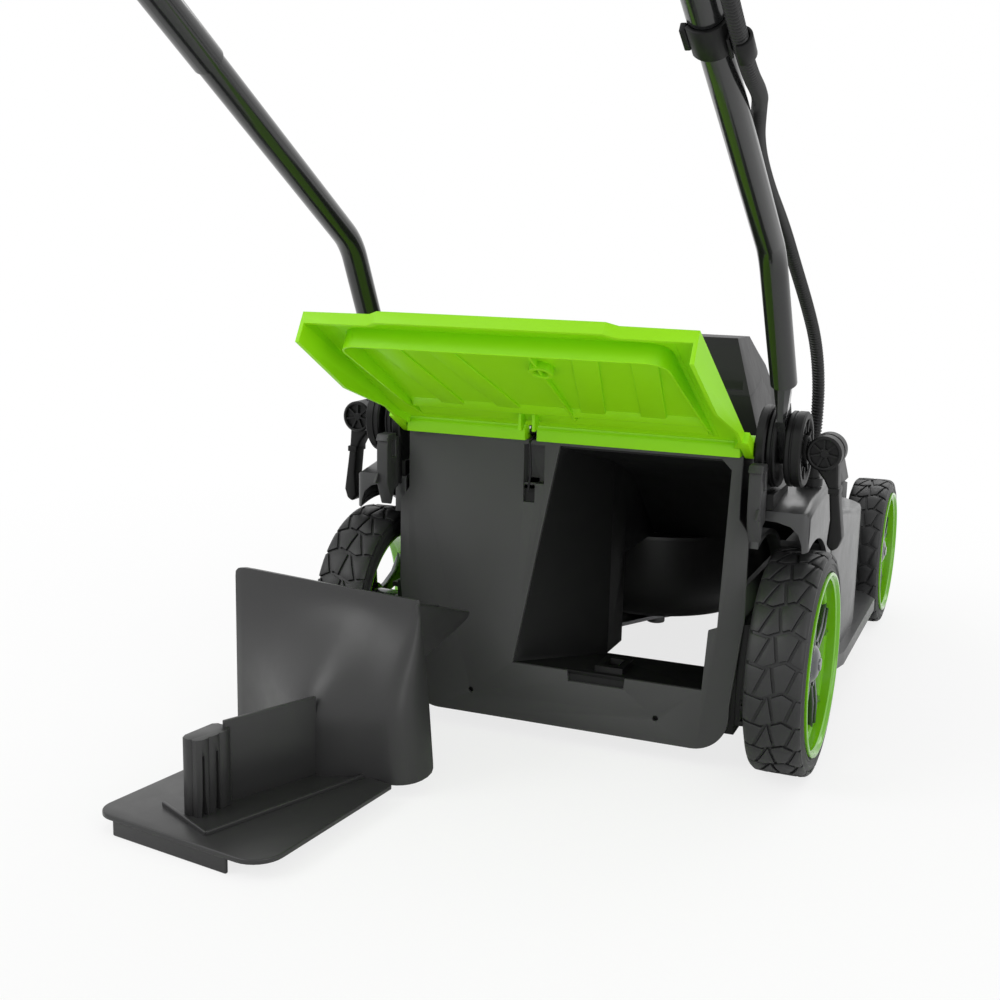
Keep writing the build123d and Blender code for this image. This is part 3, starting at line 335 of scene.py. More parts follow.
def metalFinish(name, colour, roughness, along, scratch=1.0):
    # drawn or ground metal: fine lines along one axis
    finish = Finish(name)
    fine, coarse = 1400.0, 40.0
    stretch = [coarse if axis == along else fine for axis in "XYZ"]
    scaled = finish.node("ShaderNodeMapping", {}, {"Vector": finish.place(), "Scale": stretch})
    lines = finish.noise(1.0, 3.0, 0.6, scaled)
    cloud = finish.noise(25.0, 3.0)
    finish.set(Base_Color=finish.between(cloud, *shades(colour, 0.82, 1.0)),
               Roughness=lines * (0.18 * scratch) + (roughness - 0.06), Metallic=1.0)
    return finish.bump(lines, 0.10 * scratch, 0.05).material


def rubberFinish(name, colour, roughness, grain=0.5):
    # rubber: dusty patches over a fine grain
    finish = Finish(name)
    dust = finish.noise(34.0, 5.0, 0.62)
    fine = finish.noise(1300.0, 3.0, 0.6)
    finish.set(Base_Color=finish.between(dust, *shades(colour, 0.75, 1.45)),
               Roughness=dust * 0.18 + (roughness - 0.09), Specular_IOR_Level=0.4)
    return finish.bump(fine, grain, 0.15).material


def foamFinish(name, colour):
    finish = Finish(name)
    cells = finish.node("ShaderNodeTexVoronoi", {"feature": "F1"}, {"Vector": finish.place(), "Scale": 900.0})
    finish.set(Base_Color=finish.between(cells, *shades(colour, 0.6, 1.5)), Roughness=cells * 0.2 + 0.72)
    return finish.bump(cells, 0.6, 0.3).material


def windowFinish(name):
    finish = Finish(name)
    haze = finish.noise(45.0, 3.0)
    finish.set(Base_Color=finish.between(haze, (0.010, 0.011, 0.013), (0.022, 0.023, 0.026)),
               Roughness=haze * 0.06 + 0.05, Coat_Weight=1.0, Coat_Roughness=0.03)
    return finish.material


def boardFinish(name):
    finish = Finish(name)
    tracks = finish.node("ShaderNodeTexBrick", {},
                         {"Vector": finish.place(), "Scale": 160.0, "Mortar Size": 0.03})
    finish.set(Base_Color=finish.between(tracks, (0.01, 0.10, 0.04), (0.03, 0.20, 0.08)), Roughness=0.4)
    return finish.bump(tracks, 0.3, 0.2).material


def limeFinish(name, colour, roughness, grain, coat=0.0):
    return mouldedFinish(name, colour, roughness, grain, 0.035, 0.28, coat)


finishes = {
    "lime_plastic": limeFinish("limePlastic", (0.300, 0.740, 0.003), 0.42, 0.35),
    "lime_rim": limeFinish("limeRim", (0.165, 0.500, 0.003), 0.12, 0.05, 0.7),
    "lime_button": limeFinish("limeButton", (0.285, 0.760, 0.008), 0.22, 0.10, 0.6),
    "tyre_rubber": rubberFinish("tyreRubber", (0.0200, 0.0203, 0.0208), 0.46),
    "spoke_grey": paintedFinish("spokeGrey", (0.10, 0.105, 0.11), 0.20, 0.85, 0.5),
    "side_grey": mouldedFinish("sideGrey", (0.046, 0.047, 0.048), 0.34, 0.25, 0.08, 0.5, 0.15),
    "panel_grey": mouldedFinish("panelGrey", (0.062, 0.062, 0.063), 0.46, 0.30, 0.08, 0.3),
    "black_plastic": mouldedFinish("blackPlastic", (0.0065, 0.0066, 0.0068), 0.42, 0.30, 0.15, 0.22),
    "hook_grey": mouldedFinish("hookGrey", (0.040, 0.040, 0.041), 0.42, 0.30, 0.10, 0.35),
    "hood_grey": mouldedFinish("hoodGrey", (0.020, 0.020, 0.0205), 0.50, 0.25, 0.10, 0.2),
    "pod_grey": mouldedFinish("podGrey", (0.020, 0.020, 0.0205), 0.36, 0.25, 0.10, 0.45),
    "plug_grey": mouldedFinish("plugGrey", (0.030, 0.030, 0.0305), 0.36, 0.22, 0.10, 0.4),
    "tube_paint": paintedFinish("tubePaint", (0.016, 0.0165, 0.017), 0.18, 0.20, 0.35),
    "bail_paint": paintedFinish("bailPaint", (0.018, 0.018, 0.019), 0.25, 0.2, 0.5),
    "conduit_black": rubberFinish("conduitBlack", (0.0105, 0.0105, 0.011), 0.42, 0.2),
    "grip_foam": foamFinish("gripFoam", (0.016, 0.016, 0.017)),
    "smoked_window": windowFinish("smokedWindow"),
    "spring_wire": metalFinish("springWire", (0.035, 0.035, 0.036), 0.34, "Z"),
    "zinc_steel": metalFinish("zincSteel", (0.60, 0.60, 0.61), 0.30, "X"),
    "blade_steel": metalFinish("bladeSteel", (0.34, 0.34, 0.35), 0.36, "Y", 1.4),
    "battery_plastic": mouldedFinish("batteryPlastic", (0.016, 0.016, 0.018), 0.5, 0.5),
    "key_red": mouldedFinish("keyRed", (0.50, 0.018, 0.012), 0.3, 0.2, 0.06, 0.5, 0.4),
    "board_green": boardFinish("boardGreen"),
    "motor_alu": metalFinish("motorAlu", (0.56, 0.57, 0.59), 0.42, "Z", 0.8),
}
slotOf = {part["node"]: part["material_slot"] for part in frame["record"]["subparts"]}
for node, solid in frame["nodes"].items():
    solid.data.materials.clear()
    solid.data.materials.append(finishes["spring_wire" if node == "flap_spring" else slotOf[node]])
bodyOf = {node: body for body, nodes in frame["record"]["behaviour"]["bodies"].items() for node in nodes}
print("finishes ready")

# pieces whose solids only need their edges rounded: node, then bevel in mm and its steps
softened = {
    "deck_shell": (1.2, 2), "discharge_tunnel": (0.7, 2), "front_bumper": (1.6, 3), "battery_left": (1.2, 2),
    "battery_right": (1.2, 2), "safety_key": (0.8, 2), "controller_board": (0.2, 1),
    "blade_carrier": (0.5, 2), "blade": (0.3, 2), "blade_bolt": (0.8, 2), "rear_panel": (0.6, 2),
    "cam_washers": (0.5, 2), "axle_nuts": (0.4, 2), "rear_axle_brackets": (0.6, 2), "switch_box": (0.5, 2),
    "bail_bracket": (0.5, 2), "hinge_strip": (0.5, 2),
}
for node, (width, steps) in softened.items():
    deliver(soften(fromNode(node, node + "_moulding"), width, steps), node)
print("edges rounded")

wheel = {
    "rearRadius": 90.0, "rearWidth": 46.0, "rearOuter": 208.0, "rearAxle": 35.0,
    "frontRadius": 80.0, "frontWidth": 42.0, "frontOuter": 199.0, "frontAxle": 520.0,
    "rows": 24, "treadDeep": 2.0, "treadInset": 1.4, "treadSink": 0.6, "groove": 1.25, "shoulder": 7.0,
    "ring": 0.80, "hub": 15.0, "spokes": 5, "nutRadius": 2.6, "steps": 96,
}
# one row of tread, u across the tyre and v along it, down its rear
zigzag = ((0.0, 0.06), (0.32, 0.20), (0.68, -0.07), (0.97, 0.16), (1.0, 0.14))
# each block is a fan of lines, upper end first
treadBlocks = (
    ((0.0, 0.0), (0.07, 0.07), (0.32, 0.12), (0.39, 0.18)),
    ((0.39, 0.18), (0.425, 0.32), (0.46, 0.54)),
    ((0.46, 0.54), (0.68, 0.68), (0.90, 0.74)),
    ((0.90, 0.74), (0.95, 0.93), (0.97, 0.97), (1.0, 1.0)),
)


def zigzagAt(u):
    for (u0, v0), (u1, v1) in zip(zigzag, zigzag[1:]):
        if u <= u1:
            return v0 + (v1 - v0) * (u - u0) / (u1 - u0)
    return zigzag[-1][1]


def makeTyre(name, radius, width, outer, axle):
    inner = outer - width
    ring = wheel["ring"] * radius
    deep = wheel["treadDeep"]
    shoulder = wheel["shoulder"]
    inset = wheel["treadInset"]
    span = width - 2 * inset

    def drop(x):
        # how far the round shoulder falls below the crown
        past = max(0.0, abs(x - (inner + outer) / 2) - (width / 2 - shoulder))
        return shoulder - math.sqrt(max(0.0, shoulder ** 2 - past ** 2))

    crown = [inner + width * k / 12 for k in range(1, 12)]
    profile = [(ring - 1, inner + 1.5), (ring + 3, inner + 0.2), (ring + 4, inner + 1.0),
               (radius - 10, inner + 1.2), (radius - 9, inner), (radius - 8, inner)]
    profile += [(radius - deep - drop(x) * 0.85, x) for x in crown]
    profile += [(radius - 8, outer), (radius - 9, outer), (radius - 10, outer - 1.2),
                (radius - 12.5, outer - 1.4), (radius - 13.2, outer - 0.7), (ring + 3.2, outer - 0.7),
                (ring + 2.4, outer - 1.8), (ring - 1, outer - 2)]
    casing = smooth(turned(name, profile, "X", axle, radius, wheel["steps"]), 40)
    blocks = []
    pitch = 2 * math.pi / wheel["rows"]
    gapV = wheel["groove"] / (radius * pitch)
    gapU = wheel["groove"] / span
    for lines in treadBlocks:
        count = len(lines)

        def footprint(column, row):
            # a point at the block's foot
            foot, head = lines[column]
            shift = gapU * ((column == 0 and foot > 0) - (column == count - 1 and foot < 1))
            v0 = zigzagAt(foot) + gapV
            v1 = 1 + zigzagAt(head) - gapV
            part = row / 3
            u = foot + (head - foot) * part + shift
            angle = (v0 + (v1 - v0) * part) * pitch
            x = inner + inset + span * u
            reach = radius - deep - wheel["treadSink"] - drop(x)
            return (x, axle - reach * math.sin(angle), radius + reach * math.cos(angle))

        tread = faceOut(sheet("treadBlock", count, 4, footprint))
        editAll(tread)
        bpy.ops.mesh.extrude_region_move()
        leaveEdit()
        for vertex in tread.data.vertices:
            if vertex.select:
                x = vertex.co.x / mm
                spoke = Vector((0, vertex.co.y / mm - axle, vertex.co.z / mm - radius)).normalized()
                vertex.co = (Vector((x, axle, radius)) + spoke * (radius - drop(x))) * mm
        blocks.append(bevel(faceOut(tread), 0.55, 2))
    row = smooth(join(name + "Row", blocks), 40)
    pieces = [casing, row]
    for k in range(1, wheel["rows"]):
        turn = turnAbout("X", 360 * k / wheel["rows"], (0, axle, radius))
        pieces.append(twin(row, name + "Row", turn))
    return join(name, pieces)


def makeRim(name, radius, width, outer, axle):
    ring = wheel["ring"] * radius
    inner = outer - width
    profile = [(ring + 2, outer - 1.0), (ring + 2, outer + 0.5), (ring + 1.4, outer + 1.2),
               (ring - 0.2, outer + 1.2), (ring - 1.0, outer + 0.4), (ring - 1.6, outer - 1.2),
               (ring - 3.4, outer - 2.2), (ring - 3.9, outer - 9.0), (ring - 6.2, outer - 10.2),
               (ring - 6.8, outer - 12.0), (ring - 6.8, inner + 6), (ring - 4.5, inner + 3),
               (ring - 1, inner + 3), (ring - 1, outer - 1.4)]
    return smooth(turned(name, profile, "X", axle, radius, wheel["steps"]), 28)


def makeHub(name, radius, width, outer, axle):
    # forked spokes with a raised spine, a domed hub, a ring of screw heads and the bore for the axle
    reach = wheel["ring"] * radius - 6.0
    inner = outer - width
    hub = wheel["hub"]
    dome = [(0, outer - 1.5), (5, outer - 1.8), (5.6, outer - 2.8), (9.0, outer - 3.4),
            (hub - 2.5, outer - 5.0), (hub, outer - 7.5), (hub + 3.5, outer - 9.0),
            (hub + 4.5, outer - 10.5), (hub + 4.5, outer - 15), (hub, outer - 16), (hub, inner + 3),
            (hub - 1.2, inner + 2), (5.1, inner + 2), (5.1, inner + 4), (0, inner + 4)]
    pieces = [smooth(turned(name, dome, "X", axle, radius, 48), 30)]
    # the fork and its spine: how far out from the axle, then sideways
    fork = [(hub - 2, -6.5), (hub + 14, -5.0), (reach - 19, -6.5), (reach + 0.6, -17.5), (reach + 1.5, -8.5),
            (reach - 9, -1.2), (reach - 9, 1.2), (reach + 1.5, 8.5), (reach + 0.6, 17.5), (reach - 19, 6.5),
            (hub + 14, 5.0), (hub - 2, 6.5)]
    spine = [(hub - 1, -2.2), (hub + 14, -1.5), (reach - 16, -2.4), (reach - 1, -12.6), (reach - 0.6, -10.6),
             (reach - 12.5, 0), (reach - 0.6, 10.6), (reach - 1, 12.6), (reach - 16, 2.4), (hub + 14, 1.5),
             (hub - 1, 2.2)]

    def upright(part, outline, start, end):
        placed = [(axle + y, radius + z) for z, y in outline]
        return plate(name + part, placed, "X", outer - start, outer - end)

    arm = bevel(upright("Fork", fork, 15, 9.0), 1.2, 3)
    ridge = bevel(upright("Spine", spine, 10.5, 7.2), 0.9, 2)
    off = hub + 1.2
    share = math.pi / wheel["spokes"]
    nut = barrelX(name + "Nut", wheel["nutRadius"], outer - 11, outer - 6.4, axle + off * math.sin(share),
                  radius + off * math.cos(share), 6)
    spoke = smooth(join(name + "Spoke", [arm, ridge, bevel(nut, 0.4, 1)]), 30)
    pieces.append(spoke)
    for k in range(1, wheel["spokes"]):
        turn = turnAbout("X", 360 / wheel["spokes"] * k, (0, axle, radius))
        pieces.append(twin(spoke, name + "Spoke", turn))
    return join(name, pieces)


for end in ("rear", "front"):
    sizes = [wheel[end + word] for word in ("Radius", "Width", "Outer", "Axle")]
    for kind, make in (("tyre", makeTyre), ("rim", makeRim), ("hub", makeHub)):
        right = make(f"{end}{kind.title()}Right", *sizes)
        left = twin(right, f"{end}{kind.title()}Left", mirrorX)
        deliver(right, f"{end}_{kind}_right")
        deliver(left, f"{end}_{kind}_left")
print("wheels ready")

flap = {
    "angle": 29.6, "hingeY": 8.0, "hingeZ": 264.0, "trayHalf": 123.0, "trayStart": 26.0, "trayNear": 60.0,
    "trayFar": 184.0, "skin": 2.8, "corner": 14.0, "finWall": 1.9,
}


def onFlap(piece):
    # a piece drawn level, away from the hinge along -Y, is swung up into the open flap
    piece.data.transform(moveBy(0, flap["hingeY"], flap["hingeZ"]) @ turnBy(-flap["angle"], "X"))
    return piece


def trayFloor(s):
    # depth of the tray's rim at a distance s from the hinge
    if s < flap["trayNear"]:
        return -3.4 - (s - flap["trayStart"]) * 5.6 / (flap["trayNear"] - flap["trayStart"])
    return -9.0 - (s - flap["trayNear"]) * 9.2 / (flap["trayFar"] - flap["trayNear"])


def makeFin():
    # the tray's rim: two sides that rise out of the plate near the hinge, and a far wall with round corners
    half, far, corner, top = flap["trayHalf"] - 1, flap["trayFar"], flap["corner"], -1.4
    side = [(half, s) for s in (flap["trayStart"], 43, 60, 90, 120, 150)]
    turns = [math.pi / 12 * k for k in range(7)]
    bend = [(half - corner * (1 - math.cos(turn)), far - corner * (1 - math.sin(turn))) for turn in turns]
    right = side + bend + [(70, far), (35, far)]
    path = [(-x, s) for x, s in right] + [(0, far)] + right[::-1]

    def wallAt(column, row):
        x, s = path[column]
        return (x, -s, top + (trayFloor(s) - top) * row / 2)

    fin = faceOut(sheet("trayFin", len(path), 3, wallAt))
    modify(fin, "SOLIDIFY", thickness=flap["finWall"] * mm, offset=0)
    return soften(fin, 0.4, 2, 60)


def makeFlapDetails():
    half, near, far, skin = flap["trayHalf"], flap["trayNear"], flap["trayFar"], -flap["skin"]
    floor = [(-24, -3.2), (-far - 2, -3.2), (-far - 2, -0.5), (-24, -0.5)]
    pieces = [makeFin(), plate("trayFloor", floor, "X", -half - 3, half + 3)]
    for side in (-1, 1):
        # two slanted panels stand a little proud of the floor
        for start, lean in ((50, 26), (92, 20)):
            end = start + 20
            outline = [(side * start, 8 - far), (side * end, 8 - far), (side * (end - lean), 6 - near),
                       (side * (start - lean), 6 - near)]
            pieces.append(soften(plate("flapPanel", outline, "Z", -4.6, -2.6), 0.9, 3))
    for s, low in ((34, -5.0), (52, -6.4)):
        step = [(-s - 9, -3), (-s + 1, low), (-s + 2.6, low), (-s + 3, -3)]
        pieces.append(soften(plate("flapStep", step, "X", 3 - half, half - 3), 0.5, 2))
    for x in (-30.0, -18.5):
        ear = [(-32, skin), (-36, -15), (-40, -17), (-48, skin)]
        pieces.append(soften(plate("springEar", ear, "X", x, x + 2.4), 0.5, 2))
    rib = [(-40, skin), (-42, -6.2), (3 - far, -8.4), (3 - far, skin)]
    ring = [(5.8, skin), (9.2, skin), (9.2, -9.2), (5.8, -9.2)]
    pieces.append(soften(plate("flapRib", rib, "X", 15.6, 17.6), 0.5, 2))
    pieces.append(soften(turned("flapRing", ring, "Z", 18, -136, 40), 0.5, 2))
    return onFlap(join("flapDetails", pieces))


def clearTray():
    # the plain tray of the solid makes room for the one with fins
    half = flap["trayHalf"] + 1.2
    return onFlap(block("clearing", -half, half, -flap["trayFar"] - 1.5, -24, -26, -2.9))


moulding = soften(cut(fromNode("rear_flap", "flapMoulding"), clearTray()), 0.9, 3)
deliver(join("rearFlap", [moulding, makeFlapDetails()]), "rear_flap")
print("flap ready")

# each side cover has a hollow over its rear wheel, x and z, and an upright slot in front of it
cover = {
    "well": [(157, 208.5), (170, 208), (181, 205), (187, 199.5), (190, 191), (191, 178), (191, 150),
             (157, 150)],
    "wellY": (-6, 96), "slotX": (189.5, 197), "slotY": (121, 126), "slotZ": (148, 174), "edge": 1.6,
}


def makeCovers():
    # the rear end of each side cover is an arch over the wheel, open to the back
    for side, node in ((1, "side_cover_right"), (-1, "side_cover_left")):
        piece = fromNode(node, node + "_moulding")
        cut(piece, plate("well", [(side * x, z) for x, z in cover["well"]], "Y", *cover["wellY"]))
        across = sorted(side * x for x in cover["slotX"])
        cut(piece, block("slot", *across, *cover["slotY"], *cover["slotZ"]))
        deliver(soften(piece, cover["edge"], 3), node)


makeCovers()
# the handle turns about a line along X at this y and z, and the lever's drum lies along Y beside it
cam = {"x": 200.5, "y": 30.0, "z": 262.0, "radius": 13.5, "half": 16.0, "spokes": 7, "spokeTurn": 12.0}


def makeLever():
    r, half, x0, z0 = cam["radius"], cam["half"], cam["x"], cam["z"]
    front, back = cam["y"] - half, cam["y"] + half
    drum = [(0, front + 3.2), (10.8, front + 3.2), (10.8, front + 0.4), (11.4, front), (r - 1.4, front),
            (r, front + 1.4), (r, 27.4), (r - 0.8, 28.2), (r - 3, 28.2), (r - 3, 31.8), (r - 0.8, 31.8),
            (r, 32.6), (r, back - 1.4), (r - 1.4, back), (0, back)]
    boss = [(0, front + 0.8), (2.6, front + 0.8), (3.6, front + 1.4), (3.6, front + 4), (0, front + 4)]
    pieces = [smooth(turned("camDrum", drum, "Y", x0, z0, 64), 30),
              smooth(turned("camBoss", boss, "Y", x0, z0, 32), 30)]
    for k in range(cam["spokes"]):
        spoke = block("camSpoke", x0 + 3, x0 + r - 2, front + 1, front + 4, z0 - 0.8, z0 + 0.8)
        spoke.data.transform(turnAbout("Y", 360 / cam["spokes"] * k + cam["spokeTurn"], (x0, 0, z0)))
        pieces.append(spoke)
    arm = [(-9, -7), (10, -6), (11, -24), (13, -40), (16.5, -66), (14, -74), (9, -77), (5, -72), (6.5, -52),
           (4.5, -30), (0.5, -22), (-5, -15)]
    pieces.append(soften(plate("camArm", [(x0 + x, z0 + z) for x, z in arm], "Y", 22, 38), 2.0, 3))
    pieces.append(soften(block("camStop", x0 + 4, x0 + 12.4, 20.6, 39, z0 - 32, z0 - 27), 0.8, 2))
    return join("camLever", pieces)


lever = makeLever()
otherLever = twin(lever, "camLeverLeft", mirrorX)
deliver(lever, "cam_lever_right")
deliver(otherLever, "cam_lever_left")


def ringAbout(name, profile, side):
    # a ring about the pivot's line, its profile (radius, x) on one side of the mower
    return smooth(turned(name, [(r, side * x) for r, x in profile], "X", cam["y"], cam["z"], 80), 30)


def makeEars():
    pieces = [soften(fromNode("handle_brackets", "handleBrackets"), 0.9, 3)]
    flange = [(19, 150.8), (31.6, 150.8), (33, 152.2), (33, 157), (31.8, 158.4), (30, 158.4), (29.4, 157.6),
              (19, 157.6)]
    for side in (-1, 1):
        pieces.append(ringAbout("earFlange", flange, side))
    return join("handleEars", pieces)


deliver(makeEars(), "handle_brackets")
disc = {"teeth": 9, "toothTurn": 20.0, "toothX": (181, 184.4), "toothHalf": 1.2, "toothZ": (14, 24)}


def makeDiscs():
    # the toothed discs that the levers clamp: an inner and an outer one on each side
    inner = [(4.6, 159.0), (29.6, 159.0), (31, 160.2), (31, 162.2), (30, 162.8), (30, 163.6), (31, 164.2),
             (31, 165), (29.8, 166), (4.6, 166)]
    outer = [(4.6, 172.2), (28.2, 172.2), (29.6, 173.6), (29.6, 176), (28.6, 176.6), (28.6, 177.6),
             (29.6, 178.2), (29.6, 183.8), (28, 185.2), (24.5, 185.2), (23.4, 184.2), (22.4, 181.6),
             (14, 180.8), (4.6, 180.6)]
    y, z, half = cam["y"], cam["z"], disc["toothHalf"]
    pieces = []
    for side in (-1, 1):
        pieces += [ringAbout("disc", inner, side), ringAbout("disc", outer, side)]
        across = sorted(side * x for x in disc["toothX"])
        for k in range(disc["teeth"]):
            tooth = block("discTooth", *across, y - half, y + half, *(z + up for up in disc["toothZ"]))
            tooth.data.transform(turnAbout("X", 360 / disc["teeth"] * k + disc["toothTurn"], (0, y, z)))
            pieces.append(soften(tooth, 0.4, 2))
    return join("pivotDiscs", pieces)


deliver(makeDiscs(), "pivot_discs")
hook = {
    "cap": [(-23.4, 249), (-20, 254.5), (-6, 254.5), (-6, 249)], "capX": (151.4, 162.6),
    "tip": [(-22.6, 222), (-28.5, 214), (-22.6, 212.6)], "tipX": (159.6, 162),
}


def makeHooks():
    # each bag hook gets a sloped cap and a bent tip
    pieces = [soften(fromNode("bag_hooks", "bagHooks"), 0.9, 3)]
    for side in (-1, 1):
        for part, edge, steps in (("cap", 0.9, 3), ("tip", 0.5, 2)):
            across = sorted(side * x for x in hook[part + "X"])
            pieces.append(soften(plate("hook" + part.title(), hook[part], "X", *across), edge, steps))
    return join("bagHooks", pieces)


deliver(makeHooks(), "bag_hooks", "hook_grey")
print("mounts ready")

plug = {
    "place": (-150.0, -215.0), "turn": -9.0, "top": 148.0, "floorTop": 15.0, "wall": 4.0, "plate": 3.4,
    "bowFrom": 58.0, "leanAfter": 6, "rows": 19,
}
# the bowed front wall from above: x, y at its foot and at its crown, which is straight
footLine = ((-118.5, 98), (-100, 92.5), (-75, 82), (-50, 67), (-25, 52), (-6, 42.5), (8, 40), (26, 49),
            (44, 59), (58, 64), (68, 67), (75, 74), (79, 85), (77, 104))
crownLine = ((-118.5, 98), (-100, 98), (-75, 98), (-50, 98), (-25, 98), (-6, 98), (8, 98), (22, 98), (36, 98),
             (48, 98), (56, 98), (61, 98.1), (64.2, 98.8), (64.4, 101.5))


def onPlug(piece):
    piece.data.transform(moveBy(*plug["place"], 0) @ turnBy(plug["turn"], "Z"))
    return piece


def makePlugWall():
    low, high, bow = plug["floorTop"] - 4, plug["top"], plug["bowFrom"]

    def wallAt(column, row):
        # the bow fades out above its start, and the columns past leanAfter lean all the way up
        part = row / (plug["rows"] - 1)
        z = low + (high - low) * part
        rise = min(1.0, max(0.0, (z - bow) / (high - bow)))
        ease = rise * rise * (3 - 2 * rise)
        (x0, y0), (x1, y1) = footLine[column], crownLine[column]
        shift = part if column > plug["leanAfter"] else ease
        return (x0 + (x1 - x0) * shift, y0 + (y1 - y0) * ease, z)

    wall = faceOut(sheet("plugWall", len(footLine), plug["rows"], wallAt))
    if wall.data.polygons[0].normal.y > 0:
        editAll(wall)
        bpy.ops.mesh.flip_normals()
        leaveEdit()
    modify(wall, "SUBSURF", levels=1, render_levels=1)
    modify(wall, "SOLIDIFY", thickness=plug["plate"] * mm, offset=-1)
    return smooth(bevel(wall, 0.9, 3, 60), 50)


def floorRib(start, end, width, z0, z1):
    # a straight rib on the plug's floor
    run = math.dist(start, end)
    piece = block("rib", 0, run, -width / 2, width / 2, z0, z1)
    turn = Matrix.Rotation(math.atan2(end[1] - start[1], end[0] - start[0]), 4, "Z")
    piece.data.transform(moveBy(*start, 0) @ turn)
    return soften(piece, 0.7, 3)


def roundPlate(name, corners, radii, z0, z1):
    # a level plate whose corners have their own radii
    outline = []
    count = len(corners)
    for k, (corner, radius) in enumerate(zip(corners, radii)):
        here = Vector(corner)
        if radius == 0:
            outline.append(tuple(here))
            continue
        back = (Vector(corners[k - 1]) - here).normalized()
        onward = (Vector(corners[(k + 1) % count]) - here).normalized()
        half = back.angle(onward) / 2
        centre = here + (back + onward).normalized() * (radius / math.sin(half))
        first = here + back * (radius / math.tan(half)) - centre
        last = here + onward * (radius / math.tan(half)) - centre
        sweep = first.angle_signed(last)
        outline += [tuple(centre + Matrix.Rotation(-sweep * step / 8, 2) @ first) for step in range(9)]
    return plate(name, outline, "Z", z0, z1)


def makePost():
    # a two-lobed post with grooves down its sides and two slots that widen at the foot
    outline = [(-23, -60), (-21, -64.5), (-17, -66), (-14, -65.6), (-12.5, -64.2), (-11, -65.4), (-8, -65),
               (-5.6, -62), (-5, -56), (-6.2, -54), (-5, -52), (-4.6, -46), (-5.8, -44), (-4.6, -42),
               (-5, -34), (-8, -30.4), (-20, -30), (-23, -33)]
    post = plate("post", outline, "Z", plug["floorTop"] - 1, 72)
    for y in (-60.5, -47.5):
        slot = [(y - 0.9, 60), (y + 0.9, 60), (y + 1.4, 30), (y + 3.4, 14.2), (y - 2.2, 14.2), (y - 1.2, 30)]
        cut(post, plate("slot", slot, "X", -26, 0))
    return soften(post, 1.3, 3, 40)


def makePlug():
    top = plug["floorTop"]
    ribTop = top + 3
    floor = roundPlate("plugFloor", [(-79, -96), (78, -96), (69, 60), (40, 62), (-79, 62)], [16, 22, 0, 0, 0],
                       top - plug["wall"], top)
    pieces = [soften(floor, 1.0, 3), makePlugWall(), makePost(),
              soften(block("lip", -60, 46, -95.5, -92.5, 0, top - 2), 1.2, 3),
              floorRib((-11, -34), (9, 44), 3.4, top - 1, 77),
              floorRib((-44, -62), (16, -82), 2.4, top - 1, ribTop),
              floorRib((16, -82), (44, 60), 2.4, top - 1, ribTop)]
    # the nose behind the wall, y and z: four fins over a sloped trough
    fin = [(96, 100), (102, 100), (112, 102.5), (124, 105), (146, 111), (160, 115), (168, 118.5), (171, 121),
           (169.5, 123.5), (150, 128.6), (120, 138.6), (98, 145)]
    for x in (-22, 5.5, 33.5, 62):
        pieces.append(soften(plate("fin", fin, "X", x, x + 3), 0.8, 3))
    trough = [(98, 100), (112, 102.5), (146, 111), (168, 118.5), (171, 121), (169.5, 123.5), (166, 122.4),
              (145, 115), (120, 109), (102, 106), (96, 107)]
    pieces.append(soften(plate("trough", trough, "X", -21, 64), 0.8, 2))
    return onPlug(join("mulchPlug", pieces))


deliver(makePlug(), "mulch_plug")
print("plug ready")

conduit = {
    "radius": 5.0, "groove": 4.2, "pitch": 2.6, "sides": 14, "bendY": -57.0, "bendZ": 412.0,
    "tubePitch": 31.0,
}


def onUpper(x, run, lift):
    # a point beside the upper tubes: run from the bend, lift out of their plane
    pitch = math.radians(conduit["tubePitch"])
    return (x, conduit["bendY"] - run * math.cos(pitch) + lift * math.sin(pitch),
            conduit["bendZ"] + run * math.sin(pitch) + lift * math.cos(pitch))


conduitRoute = [
    onUpper(142, 667.4, 0), onUpper(142, 640, 2), onUpper(147, 606, 18), onUpper(166, 572, 24),
    onUpper(184, 540, 12), onUpper(188, 492, -4), onUpper(187, 430, -8), onUpper(188, 366, -6),
    onUpper(186, 314, -10), onUpper(185.5, 276, -10.2), onUpper(185.5, 212, -9.4), onUpper(184, 172, 5),
    onUpper(176, 140, 19), onUpper(168, 100, 21.5), onUpper(167.5, 54, 21.5), (169, -36, 432),
    (173, 0, 402), (178, 32, 372), (182, 58, 343), (183.5, 75, 310), (182.5, 83, 278), (180.8, 84, 251),
    (180.0, 82.0, 226.5),
]


def routeLine(name, points):
    # the points along a smooth curve that is led by the route's points
    curve = bpy.data.curves.new(name, "CURVE")
    curve.dimensions = "3D"
    curve.resolution_u = 24
    spline = curve.splines.new("NURBS")
    spline.points.add(len(points) - 1)
    for spot, point in zip(spline.points, points):
        spot.co = (*[v * mm for v in point], 1)
    spline.order_u = 3
    spline.use_endpoint_u = True
    holder = bpy.data.objects.new(name, curve)
    bpy.context.collection.objects.link(holder)
    line = bpy.data.meshes.new_from_object(holder)
    path = [vertex.co.copy() for vertex in line.vertices]
    bpy.data.objects.remove(holder)
    return path


def evenly(path, step):
    # the same line in even steps
    spots = [path[0]]
    left = step
    for a, b in zip(path, path[1:]):
        length = (b - a).length
        while left <= length:
            spots.append(a + (b - a) * (left / length))
            left += step
        left -= length
    return spots


